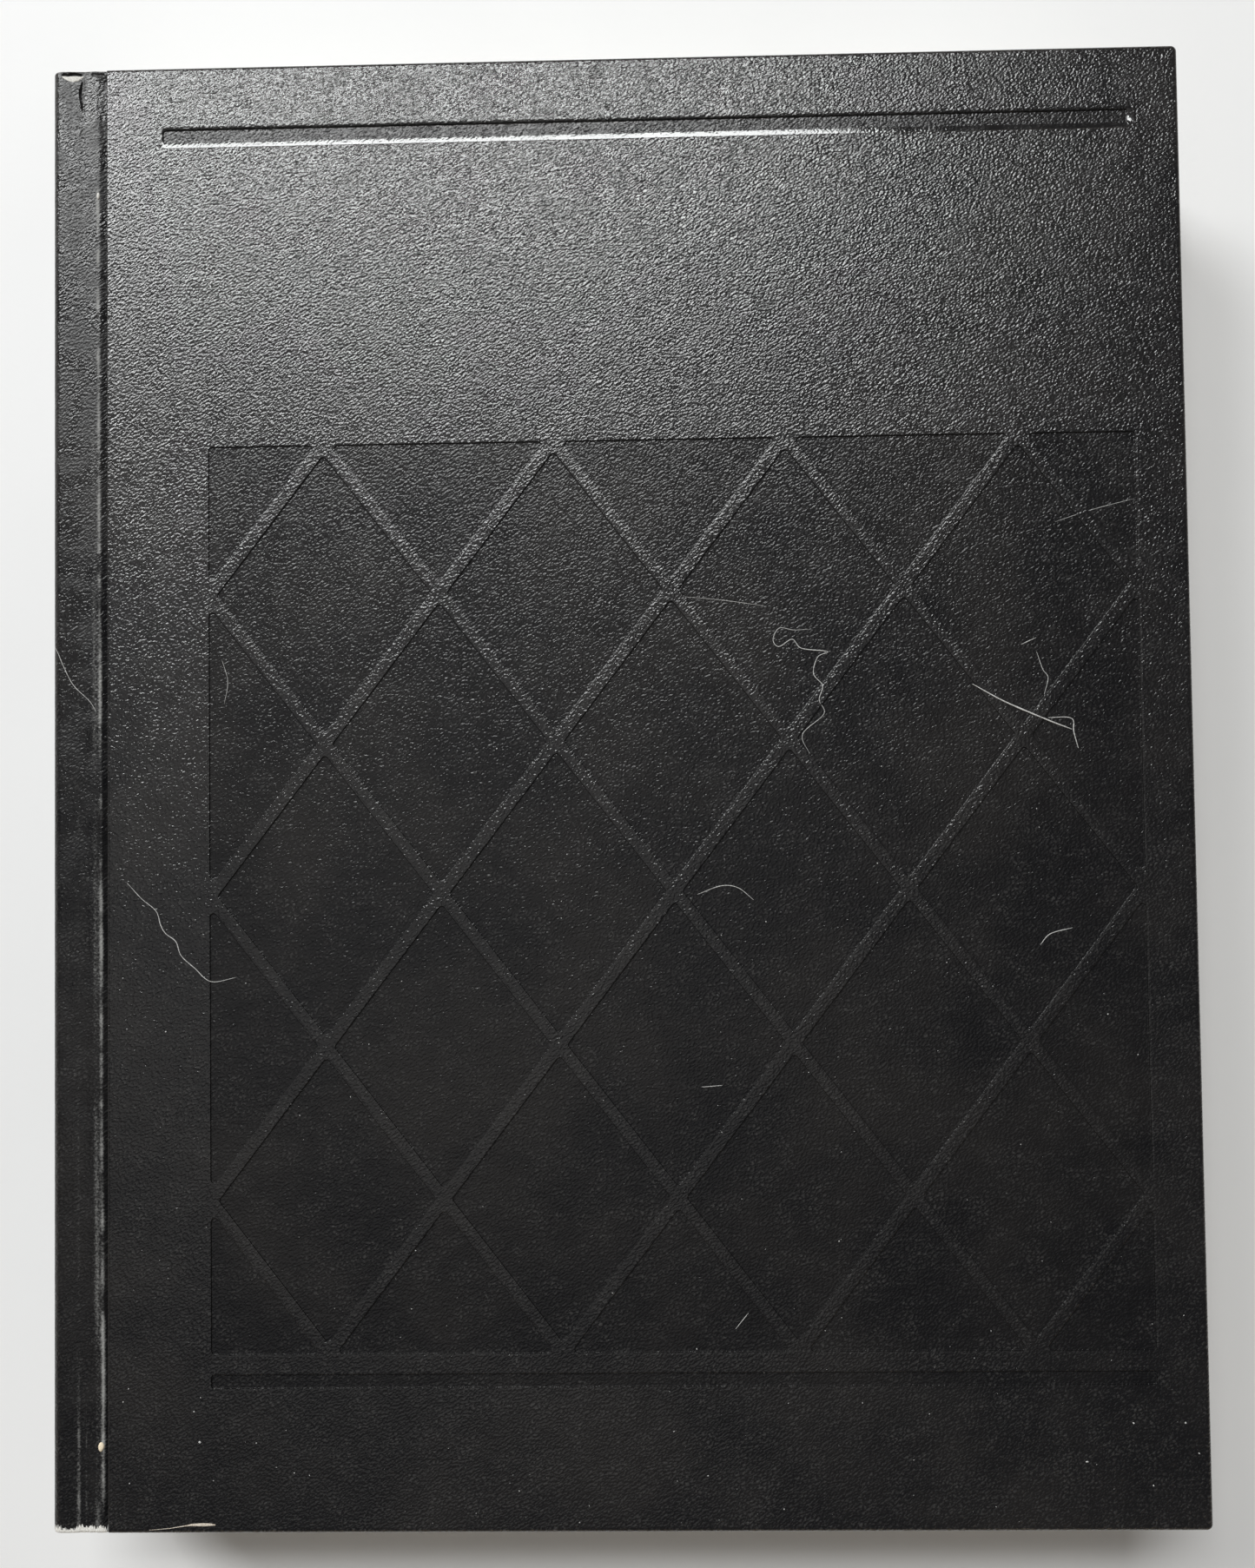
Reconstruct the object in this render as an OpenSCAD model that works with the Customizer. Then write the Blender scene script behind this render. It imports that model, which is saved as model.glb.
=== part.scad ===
// Case-bound hardcover book with a flat spine, lying on its back cover.
// X runs from the spine to the fore edge, Y from the tail to the head and Z up.
// The origin is under the middle of the closed book, on the surface that it lies on.

/* [Pages] */
// Width of a page, from its fold at the spine to the fore edge
page_w = 215; // [150:1:260]
// Height of a page, from tail to head
page_h = 279; // [200:1:340]
// Thickness of all the pages pressed together
pages_t = 27.2; // [14:0.1:60]
// Number of folded sections sewn into the page block
section_count = 16; // [6:1:24]
// Thickness of an endpaper
endpaper_t = 0.2; // [0.15:0.05:0.4]

/* [Covers] */
// Thickness of the grey board in each cover
board_t = 3; // [2.2:0.1:4]
// How far the covers stand out past the pages at head, tail and fore edge
square_w = 3.5; // [2.8:0.1:6]
// Thickness of the black covering paper
wrap_t = 0.4; // [0.3:0.05:0.6]
// Width of the covering that is turned in over the inner side of a board
turn_in_w = 16; // [10:1:24]
// Margin of turned-in covering left bare round an endpaper
bare_margin_w = 3.2; // [2:0.1:6]
// Radius of a cover's long edges
edge_r = 0.8; // [0.5:0.1:1.1]
// Radius of a cover's corners, seen from above
corner_r = 1.2; // [1:0.1:3]
// Air left between a closed cover and the pages
page_air = 0.2; // [0.1:0.05:0.4]

/* [Spine and joints] */
// Thickness of the spine board
spine_board_t = 2; // [1.5:0.1:2.6]
// Thickness of the mull and paper glued over the folds
lining_t = 0.6; // [0.4:0.1:1]
// Radius of the two long edges of the spine
ridge_r = 1.8; // [1.2:0.1:2.2]
// How far the spine's edge lies below the face of a cover
ridge_drop = 0.4; // [0.2:0.05:0.8]
// Distance from the back of the spine to the line that a cover turns on
hinge_x = 3.6; // [3.2:0.1:4.4]
// Width of the joint, from that line to the edge of a cover
joint_w = 7.4; // [6.6:0.1:10]
// Depth of the hollow next to the spine's edge, below the face of a cover
valley_drop = 0.8; // [0.6:0.1:1.8]
// Depth of the worn fold in the middle of the joint
crest_drop = 0.5; // [0.4:0.05:1]
// Depth of the crease beside the edge of a cover
crease_drop = 1.4; // [1.1:0.1:2.2]
// Width of the flat bottom of that crease
crease_w = 0.5; // [0.3:0.1:0.8]
// Gap in the covering along the hinge line
hinge_gap = 0.3; // [0.2:0.05:0.4]

/* [Head and tail bands] */
// Radius of the bead that stands on the pages
bead_r = 1.1; // [0.8:0.1:1.3]
// Height of the tape that holds the bead to the folds
tape_h = 8; // [5:0.5:12]

/* [Stamped rules] */
// Width of a rule across its length
rule_w = 3.3; // [2:0.1:6]
// Depth of a rule
rule_depth = 0.35; // [0.2:0.05:0.8]
// Distance from the head of the cover to the upper rule
upper_rule_y = 11.9; // [8:0.1:30]
// Distance from the tail of the cover to the lower rule
lower_rule_y = 27.5; // [10:0.1:40]
// Distance from the back of the spine to the upper rule
upper_rule_x = 22.4; // [18:0.1:40]
// Distance from the back of the spine to the lower rule and the lattice
lower_rule_x = 31.2; // [18:0.1:50]
// Distance from the fore edge to the rules and the lattice
field_fore_x = 10; // [6:0.1:30]

/* [Stamped lattice] */
// Distance from the head of the cover to the lattice
lattice_head_y = 76; // [40:1:110]
// Distance from the lower rule to the lattice
lattice_rule_gap = 3.2; // [2:0.1:12]
// Number of lozenges across
lozenge_columns = 4; // [2:1:5]
// Number of lozenges down
lozenge_rows = 3; // [2:1:4]
// Width of the raised bars between lozenges
bar_w = 2.4; // [1.6:0.1:5]
// Depth of a stamped lozenge
lozenge_depth = 0.3; // [0.2:0.05:0.8]

/* [Hidden] */
$fn = 48;

// Overrun of every cut past the face that it starts from
cut_over = 1;
// Points along each easy curve of a joint
joint_steps = 10;
// Places of the joint's hollow and fold as shares of its width
valley_share = 0.42;
crest_share = 0.8;

// Heights, from the surface that the book lies on
cover_t = board_t + 2 * wrap_t;
leaf_t = endpaper_t + page_air;
book_t = pages_t + 2 * (cover_t + endpaper_t + leaf_t);
block_z = cover_t + endpaper_t + leaf_t;

// Lengths across the book, from the back of the spine
hollow_x = wrap_t + spine_board_t;
lining_x = hollow_x + wrap_t;
block_x = lining_x + lining_t;
cover_x = hinge_x + joint_w;
book_w = block_x + page_w + square_w;
book_h = page_h + 2 * square_w;

// The joint's outer face, as places across the book and depths below the cover's face
valley_x = hinge_x + valley_share * joint_w;
crest_x = hinge_x + crest_share * joint_w;
joint_stations = [
    [hinge_x + hinge_gap / 2, ridge_drop],
    [valley_x, valley_drop],
    [crest_x, crest_drop],
    [cover_x - crease_w, crease_drop],
    [cover_x + wrap_t, crease_drop]
];

// The stamped field of the front cover, from the back of the spine and the tail
field_right = book_w - field_fore_x;
upper_rule_bottom = book_h - upper_rule_y - rule_w;
lattice_bottom = lower_rule_y + rule_w + lattice_rule_gap;
lattice_top = book_h - lattice_head_y;
lozenge_w = (field_right - lower_rule_x) / lozenge_columns;
lozenge_h = (lattice_top - lattice_bottom) / lozenge_rows;

// Height halfway between two values, at a share t of the way, with level ends
function eased(from, to, t) = from + (to - from) * (1 - cos(180 * t)) / 2;

// Points along the joint's outer face, sunk by a number of layers of covering
function joint_line(layers) = [
    for (i = [0 : len(joint_stations) - 2], k = [0 : joint_steps])
        let (a = joint_stations[i], b = joint_stations[i + 1], t = k / joint_steps)
            if (k < joint_steps || i == len(joint_stations) - 2)
                [a[0] + (b[0] - a[0]) * t, -eased(a[1], b[1], t) - layers * wrap_t]
];

function reversed(list) = [for (i = [len(list) - 1 : -1 : 0]) list[i]];

// Moves a shape drawn from the spine, the tail and the table to the book's own origin
module placed() {
    translate([-book_w / 2, -book_h / 2, 0]) children();
}

// Turns what is drawn for the front of the book over to its back
module at_back() {
    translate([0, 0, book_t]) mirror([0, 0, 1]) children();
}

// A block between two corners
module block_between(low, high) {
    translate(low) cube(high - low);
}

// Extrudes a section drawn in X and Z along the book's height
module along_spine(from, to) {
    translate([0, to, 0]) rotate([90, 0, 0]) linear_extrude(to - from) children();
}

// A flat rectangle with rounded corners on the fore-edge side
module fore_rounded(low, high, r) {
    translate(low) square([high[0] - low[0] - r, high[1] - low[1]]);
    translate([low[0], low[1] + r]) square([high[0] - low[0], high[1] - low[1] - 2 * r]);
    for (y = [low[1] + r, high[1] - r]) translate([high[0] - r, y]) circle(r);
}

// The same rectangle with its rounded corners on the spine side
module spine_rounded(low, high, r) {
    translate([low[0] + high[0], 0]) mirror([1, 0]) fore_rounded(low, high, r);
}

// A flat rectangle with all its corners rounded
module all_rounded(low, high, r) {
    middle = (low[0] + high[0]) / 2;
    fore_rounded([middle, low[1]], high, r);
    spine_rounded(low, [middle, high[1]], r);
}

// One lozenge about its centre, with its sides moved out by an amount
module lozenge(grow) {
    a = lozenge_w / 2;
    b = lozenge_h / 2;
    k = 1 + (grow - bar_w / 2) * sqrt(1 / (a * a) + 1 / (b * b));
    polygon([[a * k, 0], [0, b * k], [-a * k, 0], [0, -b * k]]);
}

// The stamped lattice: whole lozenges in rows, with others between them cut off by its border
module lattice(grow) {
    intersection() {
        translate([lower_rule_x - grow, lattice_bottom - grow])
            square([field_right - lower_rule_x + 2 * grow, lattice_top - lattice_bottom + 2 * grow]);
        translate([lower_rule_x, lattice_bottom])
            for (i = [0 : 2 * lozenge_columns], j = [0 : 2 * lozenge_rows])
                if ((i + j) % 2 == 0)
                    translate([i * lozenge_w / 2, j * lozenge_h / 2]) lozenge(grow);
    }
}

// The two stamped rules
module rules(grow) {
    for (corner = [[upper_rule_x, upper_rule_bottom], [lower_rule_x, lower_rule_y]])
        translate([corner[0] - grow, corner[1] - grow])
            square([field_right - corner[0] + 2 * grow, rule_w + 2 * grow]);
}

// What the stamp presses out of a level: cut at the face, or seated in the board below it
module stamped(face_z, grow, over) {
    translate([0, 0, face_z - rule_depth]) linear_extrude(rule_depth + over) rules(grow);
    translate([0, 0, face_z - lozenge_depth]) linear_extrude(lozenge_depth + over) lattice(grow);
}

// A cover's board, drawn for the front
module board() {
    translate([0, 0, book_t - wrap_t - board_t])
        linear_extrude(board_t)
            fore_rounded(
                [cover_x + wrap_t, wrap_t], [book_w - wrap_t, book_h - wrap_t], corner_r - wrap_t
            );
}

// The outside of a covered board: its plan, its section across and its section along, met together
module covered_form() {
    base_z = book_t - cover_t;
    intersection() {
        translate([0, 0, base_z]) linear_extrude(cover_t)
            fore_rounded([cover_x, 0], [book_w, book_h], corner_r);
        along_spine(-cut_over, book_h + cut_over)
            difference() {
                fore_rounded([cover_x, base_z], [book_w, book_t], edge_r);
                translate([cover_x, book_t]) edge_corner();
            }
        translate([cover_x, 0, 0]) rotate([90, 0, 90])
            linear_extrude(book_w - cover_x)
                all_rounded([0, base_z], [book_h, book_t], edge_r);
    }
}

// What a rounded edge takes off the corner of a cover's section
module edge_corner() {
    difference() {
        translate([-cut_over, -edge_r]) square([edge_r + cut_over, edge_r + cut_over]);
        translate([edge_r, -edge_r]) circle(edge_r);
    }
}

// The covering of one joint, with a second layer turned in at head and tail
module joint_covering() {
    translate([0, 0, book_t]) {
        along_spine(0, book_h) polygon(concat(joint_line(0), reversed(joint_line(1))));
        for (y = [0, book_h - turn_in_w])
            along_spine(y, y + turn_in_w) polygon(concat(joint_line(1), reversed(joint_line(2))));
    }
}

// The covering of a plain cover with its joint, drawn for the front
module covering() {
    base_z = book_t - cover_t;
    inner_x = cover_x + wrap_t;
    difference() {
        covered_form();
        board();
        // the inner side is open between the turn-ins, and on to the joint
        block_between(
            [cover_x - cut_over, wrap_t + turn_in_w, base_z - cut_over],
            [book_w - wrap_t - turn_in_w, book_h - wrap_t - turn_in_w, base_z + wrap_t]
        );
        // the board's edge is bare below the crease
        block_between(
            [cover_x - cut_over, -cut_over, base_z - cut_over],
            [inner_x, book_h + cut_over, book_t - crease_drop - wrap_t]
        );
    }
    joint_covering();
}

// The pasted-down half of an endpaper: it steps down over the turn-ins and reaches across the joint
module pastedown() {
    board_z = book_t - wrap_t - board_t;
    low_z = board_z - wrap_t - endpaper_t;
    window_x = book_w - wrap_t - turn_in_w;
    window_y = wrap_t + turn_in_w;
    board_x = cover_x + wrap_t;
    difference() {
        block_between(
            [block_x + endpaper_t, bare_margin_w, low_z],
            [book_w - bare_margin_w, book_h - bare_margin_w, low_z + endpaper_t]
        );
        block_between(
            [board_x, window_y + endpaper_t, low_z - cut_over],
            [window_x - endpaper_t, book_h - window_y - endpaper_t, board_z]
        );
    }
    difference() {
        block_between([board_x, window_y, low_z], [window_x, book_h - window_y, board_z]);
        block_between(
            [board_x + endpaper_t, window_y + endpaper_t, low_z - cut_over],
            [window_x - endpaper_t, book_h - window_y - endpaper_t, board_z - endpaper_t]
        );
    }
}

// The free half of an endpaper, on the pages
module flyleaf() {
    block_between(
        [block_x, square_w, book_t - block_z],
        [block_x + page_w, square_w + page_h, book_t - block_z + endpaper_t]
    );
}

// A band at the head: a bead on the pages with its tape glued over the folds
module band() {
    page_top = square_w + page_h;
    translate([0, 0, block_z]) {
        translate([lining_x + bead_r, page_top + bead_r, 0]) cylinder(h = pages_t, r = bead_r);
        block_between([lining_x, page_top - tape_h, 0], [block_x, page_top + bead_r, pages_t]);
    }
}

// Section of the spine's covering or board: a strip with rounded outer edges, inset by a number of layers
module spine_section(layers, right) {
    inset = layers * wrap_t;
    low = [inset, ridge_drop + inset];
    high = [right, book_t - ridge_drop - inset];
    intersection() {
        translate(low) square(high - low);
        spine_rounded(low, [right + 2 * ridge_r, high[1]], ridge_r - inset);
    }
}

module page_block() color("antiquewhite") placed() {
    fold_t = pages_t / section_count;
    along_spine(square_w, square_w + page_h) {
        translate([block_x + fold_t / 2, block_z]) square([page_w - fold_t / 2, pages_t]);
        for (i = [0 : section_count - 1])
            translate([block_x + fold_t / 2, block_z + (i + 1 / 2) * fold_t]) circle(fold_t / 2);
    }
}

module front_flyleaf() color("ivory") placed() flyleaf();

module back_flyleaf() color("ivory") placed() at_back() flyleaf();

module spine_lining() color("tan") placed() {
    block_between(
        [lining_x, square_w + tape_h, block_z],
        [block_x, square_w + page_h - tape_h, block_z + pages_t]
    );
}

module head_band() color("dimgray") placed() band();

module tail_band() color("dimgray") placed() translate([0, book_h, 0]) mirror([0, 1, 0]) band();

module spine_board() color("gray") placed() {
    along_spine(wrap_t, book_h - wrap_t) spine_section(1, hollow_x);
}

module spine_covering() color([0.09, 0.09, 0.09]) placed() {
    end_x = hinge_x - hinge_gap / 2;
    difference() {
        along_spine(0, book_h) spine_section(0, end_x);
        along_spine(wrap_t, book_h - wrap_t) spine_section(1, end_x + cut_over);
        // past the spine board, head and tail are open
        block_between(
            [lining_x, -cut_over, ridge_drop + wrap_t],
            [end_x + cut_over, book_h + cut_over, book_t - ridge_drop - wrap_t]
        );
    }
    for (y = [0, book_h - turn_in_w])
        block_between(
            [hollow_x, y, ridge_drop + wrap_t],
            [lining_x, y + turn_in_w, book_t - ridge_drop - wrap_t]
        );
}

module front_board() color("gray") placed() {
    difference() {
        board();
        stamped(book_t - wrap_t, wrap_t, cut_over);
    }
}

module front_covering() color([0.09, 0.09, 0.09]) placed() {
    difference() {
        union() {
            covering();
            stamped(book_t - wrap_t, wrap_t, 0);
        }
        stamped(book_t, 0, cut_over);
    }
}

module front_pastedown() color("ivory") placed() pastedown();

module back_board() color("gray") placed() at_back() board();

module back_covering() color([0.09, 0.09, 0.09]) placed() at_back() covering();

module back_pastedown() color("ivory") placed() at_back() pastedown();

page_block();
front_flyleaf();
back_flyleaf();
spine_lining();
head_band();
tail_band();
spine_board();
spine_covering();
front_board();
front_covering();
front_pastedown();
back_board();
back_covering();
back_pastedown();
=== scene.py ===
"""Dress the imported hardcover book: covering, pages, endpapers, bands, wear, lint and studio."""

import logging
import math
from dataclasses import dataclass
from enum import Enum, IntEnum
from typing import Callable, Sequence

import bpy
import numpy as np
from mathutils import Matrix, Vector
from mathutils.geometry import delaunay_2d_cdt


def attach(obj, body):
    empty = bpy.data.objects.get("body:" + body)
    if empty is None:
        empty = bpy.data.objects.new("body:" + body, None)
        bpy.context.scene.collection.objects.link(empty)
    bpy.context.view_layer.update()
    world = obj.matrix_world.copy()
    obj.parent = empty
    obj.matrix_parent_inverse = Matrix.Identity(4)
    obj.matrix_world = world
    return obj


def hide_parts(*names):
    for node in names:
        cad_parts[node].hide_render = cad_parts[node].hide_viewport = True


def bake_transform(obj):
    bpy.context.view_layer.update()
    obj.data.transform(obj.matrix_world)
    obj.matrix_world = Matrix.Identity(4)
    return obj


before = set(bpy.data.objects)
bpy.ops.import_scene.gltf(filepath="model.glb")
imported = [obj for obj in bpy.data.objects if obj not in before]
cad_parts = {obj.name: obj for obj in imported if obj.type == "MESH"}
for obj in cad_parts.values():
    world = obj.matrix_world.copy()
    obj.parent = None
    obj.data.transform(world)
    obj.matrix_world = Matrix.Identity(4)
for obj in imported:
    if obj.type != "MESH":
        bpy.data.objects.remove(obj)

LOG = logging.getLogger("hardcover_book")
MM = 0.001
RIPPLE_DRAWS = 4096
RIPPLE_START = 1024.0


class Body(str, Enum):
    """The bodies that the pieces ride on."""

    PAGES = "text_block"
    FRONT = "front_cover"
    BACK = "back_cover"


class Seed(IntEnum):
    """Seeds of the ripples, one for each thing that varies along a line."""

    EDGE_RUB = 11
    CREST_FRONT = 23
    CREST_BACK = 29
    WEAR_FRONT = 31
    WEAR_BACK = 37
    END_RAGGED = 41
    END_FINE = 43
    CREASE = 47
    HEAD_EDGE = 53
    TEAR_EDGE = 61
    TEAR_TOP = 67
    FRAY_WAVE = 71
    FRAY_TEETH = 73
    FRAY_GAPS = 79
    FRAY_LEAN = 83
    FRAY_ROUGH = 89
    CHIP = 97
    SCRAPE = 101


class Side(Enum):
    """Which cover a piece belongs to. The back is the front turned over."""

    FRONT = "front"
    BACK = "back"

    @property
    def body(self) -> Body:
        """The cover's own body."""
        return Body.FRONT if self is Side.FRONT else Body.BACK


@dataclass(frozen=True)
class BookSizes:
    """Sizes of the closed book in millimetres.

    A place is given as (across, up, high): across from the back of the spine, up from the tail,
    and high above the table.
    """

    width: float = 221.9
    height: float = 286.0
    thick: float = 36.0
    wrap: float = 0.4
    board: float = 3.0
    turn_in: float = 16.0
    bare_margin: float = 3.2
    edge_r: float = 0.8
    corner_r: float = 1.2
    hinge_across: float = 3.6
    cover_across: float = 11.0
    ridge_r: float = 1.8
    ridge_drop: float = 0.4
    block_across: float = 3.4
    lining_across: float = 2.8
    page_w: float = 215.0
    page_h: float = 279.0
    pages_t: float = 27.2
    sections: int = 16
    endpaper: float = 0.2
    square: float = 3.5

    @property
    def cover_t(self) -> float:
        """Thickness of a covered board with its turn-ins."""
        return self.board + 2 * self.wrap

    @property
    def block_low(self) -> float:
        """Height of the lowest page above the table."""
        return (self.thick - self.pages_t) / 2

    def row(self, places: np.ndarray) -> np.ndarray:
        """Turn places in millimetres into row-frame metres.

        Args:
            places: Rows of across, up and high.

        Returns:
            The same rows as X, Y and Z.
        """
        middle = np.array([self.width / 2, self.height / 2, 0.0])
        return (np.asarray(places, float) - middle) * MM


BOOK = BookSizes()


class MeshDraft:
    """Points and faces of one piece while it is put together, in millimetres of the book."""

    def __init__(self, side: Side = Side.FRONT) -> None:
        """Start an empty draft.

        Args:
            side: The cover it is drawn for. A draft for the back is turned over when it is made.
        """
        self.side = side
        self.points: list[np.ndarray] = []
        self.faces: list[tuple[int, ...]] = []
        self.marks: dict[str, list[np.ndarray]] = {"wear": [], "stamp": []}
        self.count = 0

    def add(
        self, points: np.ndarray, wear: float | np.ndarray = 0.0, stamp: float | np.ndarray = 0.0
    ) -> int:
        """Add points with their wear and stamp marks.

        Args:
            points: Places, in rows of three.
            wear: How worn the covering is there, from 0 to 1.
            stamp: How far the stamp has smoothed it, from 0 to 1.

        Returns:
            The index of the first new point.
        """
        flat = np.asarray(points, float).reshape(-1, 3)
        start = self.count
        self.points.append(flat)
        for name, value in (("wear", wear), ("stamp", stamp)):
            flat_value = np.asarray(value, float).reshape(-1)
            self.marks[name].append(np.broadcast_to(flat_value, (len(flat),)))
        self.count += len(flat)
        return start

    def grid(self, start: int, rows: int, cols: int, loop_cols: bool = False) -> None:
        """Join a block of added points into quads.

        Args:
            start: Index of the block's first point, row by row.
            rows: Number of rows.
            cols: Points in a row.
            loop_cols: Whether the last column joins the first.
        """
        for i in range(rows - 1):
            a, b = start + i * cols, start + (i + 1) * cols
            for j in range(cols if loop_cols else cols - 1):
                k = (j + 1) % cols
                self.faces.append((a + j, a + k, b + k, b + j))

    def slab(self, upper: np.ndarray, lower: np.ndarray) -> None:
        """Add a closed thin sheet between two grids of places.

        Args:
            upper: Places of its top. Rows run up the book and columns across it.
            lower: Places of its underside, in the same order.
        """
        rows, cols = upper.shape[:2]
        top, low = self.add(upper), self.add(lower)
        self.grid(top, rows, cols)
        seen = len(self.faces)
        self.grid(low, rows, cols)
        self.faces[seen:] = [face[::-1] for face in self.faces[seen:]]
        rim = list(range(cols)) + [r * cols + cols - 1 for r in range(1, rows)]
        rim += [(rows - 1) * cols + c for c in reversed(range(cols - 1))]
        rim += [r * cols for r in reversed(range(1, rows - 1))]
        for a, b in zip(rim, rim[1:] + rim[:1]):
            self.faces.append((top + a, low + a, low + b, top + b))

    def rod(self, rings: np.ndarray, stamp: float | np.ndarray = 0.0) -> None:
        """Add a closed body through rings of places, with a cap at each end.

        Args:
            rings: The places, ring by ring.
            stamp: Their stamp marks.
        """
        count, sides = rings.shape[:2]
        start = self.add(rings, 0.0, stamp)
        self.grid(start, count, sides, loop_cols=True)
        last = start + (count - 1) * sides
        self.faces.append(tuple(start + k for k in reversed(range(sides))))
        self.faces.append(tuple(last + k for k in range(sides)))

    def fill(self, base: int, count: int, flip: bool) -> None:
        """Close the end of a folded sheet with quads from one side to the other.

        Args:
            base: Index of the end ring's first point.
            count: Points in the ring, one side out and the other side back.
            flip: Whether the quads look the other way.
        """
        for k in range(count // 2 - 1):
            quad = (base + k, base + k + 1, base + count - 2 - k, base + count - 1 - k)
            self.faces.append(quad[::-1] if flip else quad)

    def make(
        self,
        name: str,
        material: bpy.types.Material,
        sharp_deg: float = 40.0,
        marked: bpy.types.Material | None = None,
    ) -> bpy.types.Object:
        """Make the object, in the row frame.

        Args:
            name: Name of the piece.
            material: Its finish.
            sharp_deg: Edges that turn by more than this many degrees stay sharp.
            marked: Finish of the faces whose points all have the stamp mark, if it is another.

        Returns:
            The new object, in the scene but on no body yet.
        """
        places = np.concatenate(self.points)
        faces = self.faces
        if self.side is Side.BACK:
            places = places * (1.0, 1.0, -1.0) + (0.0, 0.0, BOOK.thick)
            faces = [face[::-1] for face in faces]
        mesh = bpy.data.meshes.new(name)
        mesh.from_pydata(BOOK.row(places).tolist(), [], faces)
        mesh.validate()
        kept = mesh.attributes.new("book_mm", "FLOAT_VECTOR", "POINT")
        kept.data.foreach_set("vector", places.astype(np.float32).ravel())
        for mark, values in self.marks.items():
            layer = mesh.attributes.new(mark, "FLOAT", "POINT")
            layer.data.foreach_set("value", np.concatenate(values).astype(np.float32))
        mesh.shade_smooth()
        mesh.set_sharp_from_angle(angle=math.radians(sharp_deg))
        mesh.materials.append(material)
        if marked:
            mesh.materials.append(marked)
            stamp = np.concatenate(self.marks["stamp"])
            for face in mesh.polygons:
                face.material_index = int(stamp[list(face.vertices)].min() > 0.5)
        piece = bpy.data.objects.new(name, mesh)
        bpy.context.scene.collection.objects.link(piece)
        return piece


def eased(share: np.ndarray | float) -> np.ndarray | float:
    """An easy step from 0 to 1 with level ends."""
    held = np.clip(share, 0.0, 1.0)
    return held * held * (3.0 - 2.0 * held)


def ripple(values: np.ndarray, seed: int, step: float) -> np.ndarray:
    """Smooth seeded variation along one direction.

    Args:
        values: Places along it.
        seed: Seed of the draw.
        step: Distance between the drawn values.

    Returns:
        A value from -1 to 1 at each place.
    """
    draw = np.random.default_rng(seed).uniform(-1.0, 1.0, RIPPLE_DRAWS)
    at = np.asarray(values, float) / step + RIPPLE_START
    low = np.floor(at).astype(int)
    share = eased(at - low)
    return draw[low % RIPPLE_DRAWS] * (1.0 - share) + draw[(low + 1) % RIPPLE_DRAWS] * share


def headings(line: np.ndarray) -> np.ndarray:
    """Directions of unit length along a line of places."""
    ahead = np.gradient(line, axis=0)
    return ahead / np.linalg.norm(ahead, axis=1)[:, None]


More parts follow.
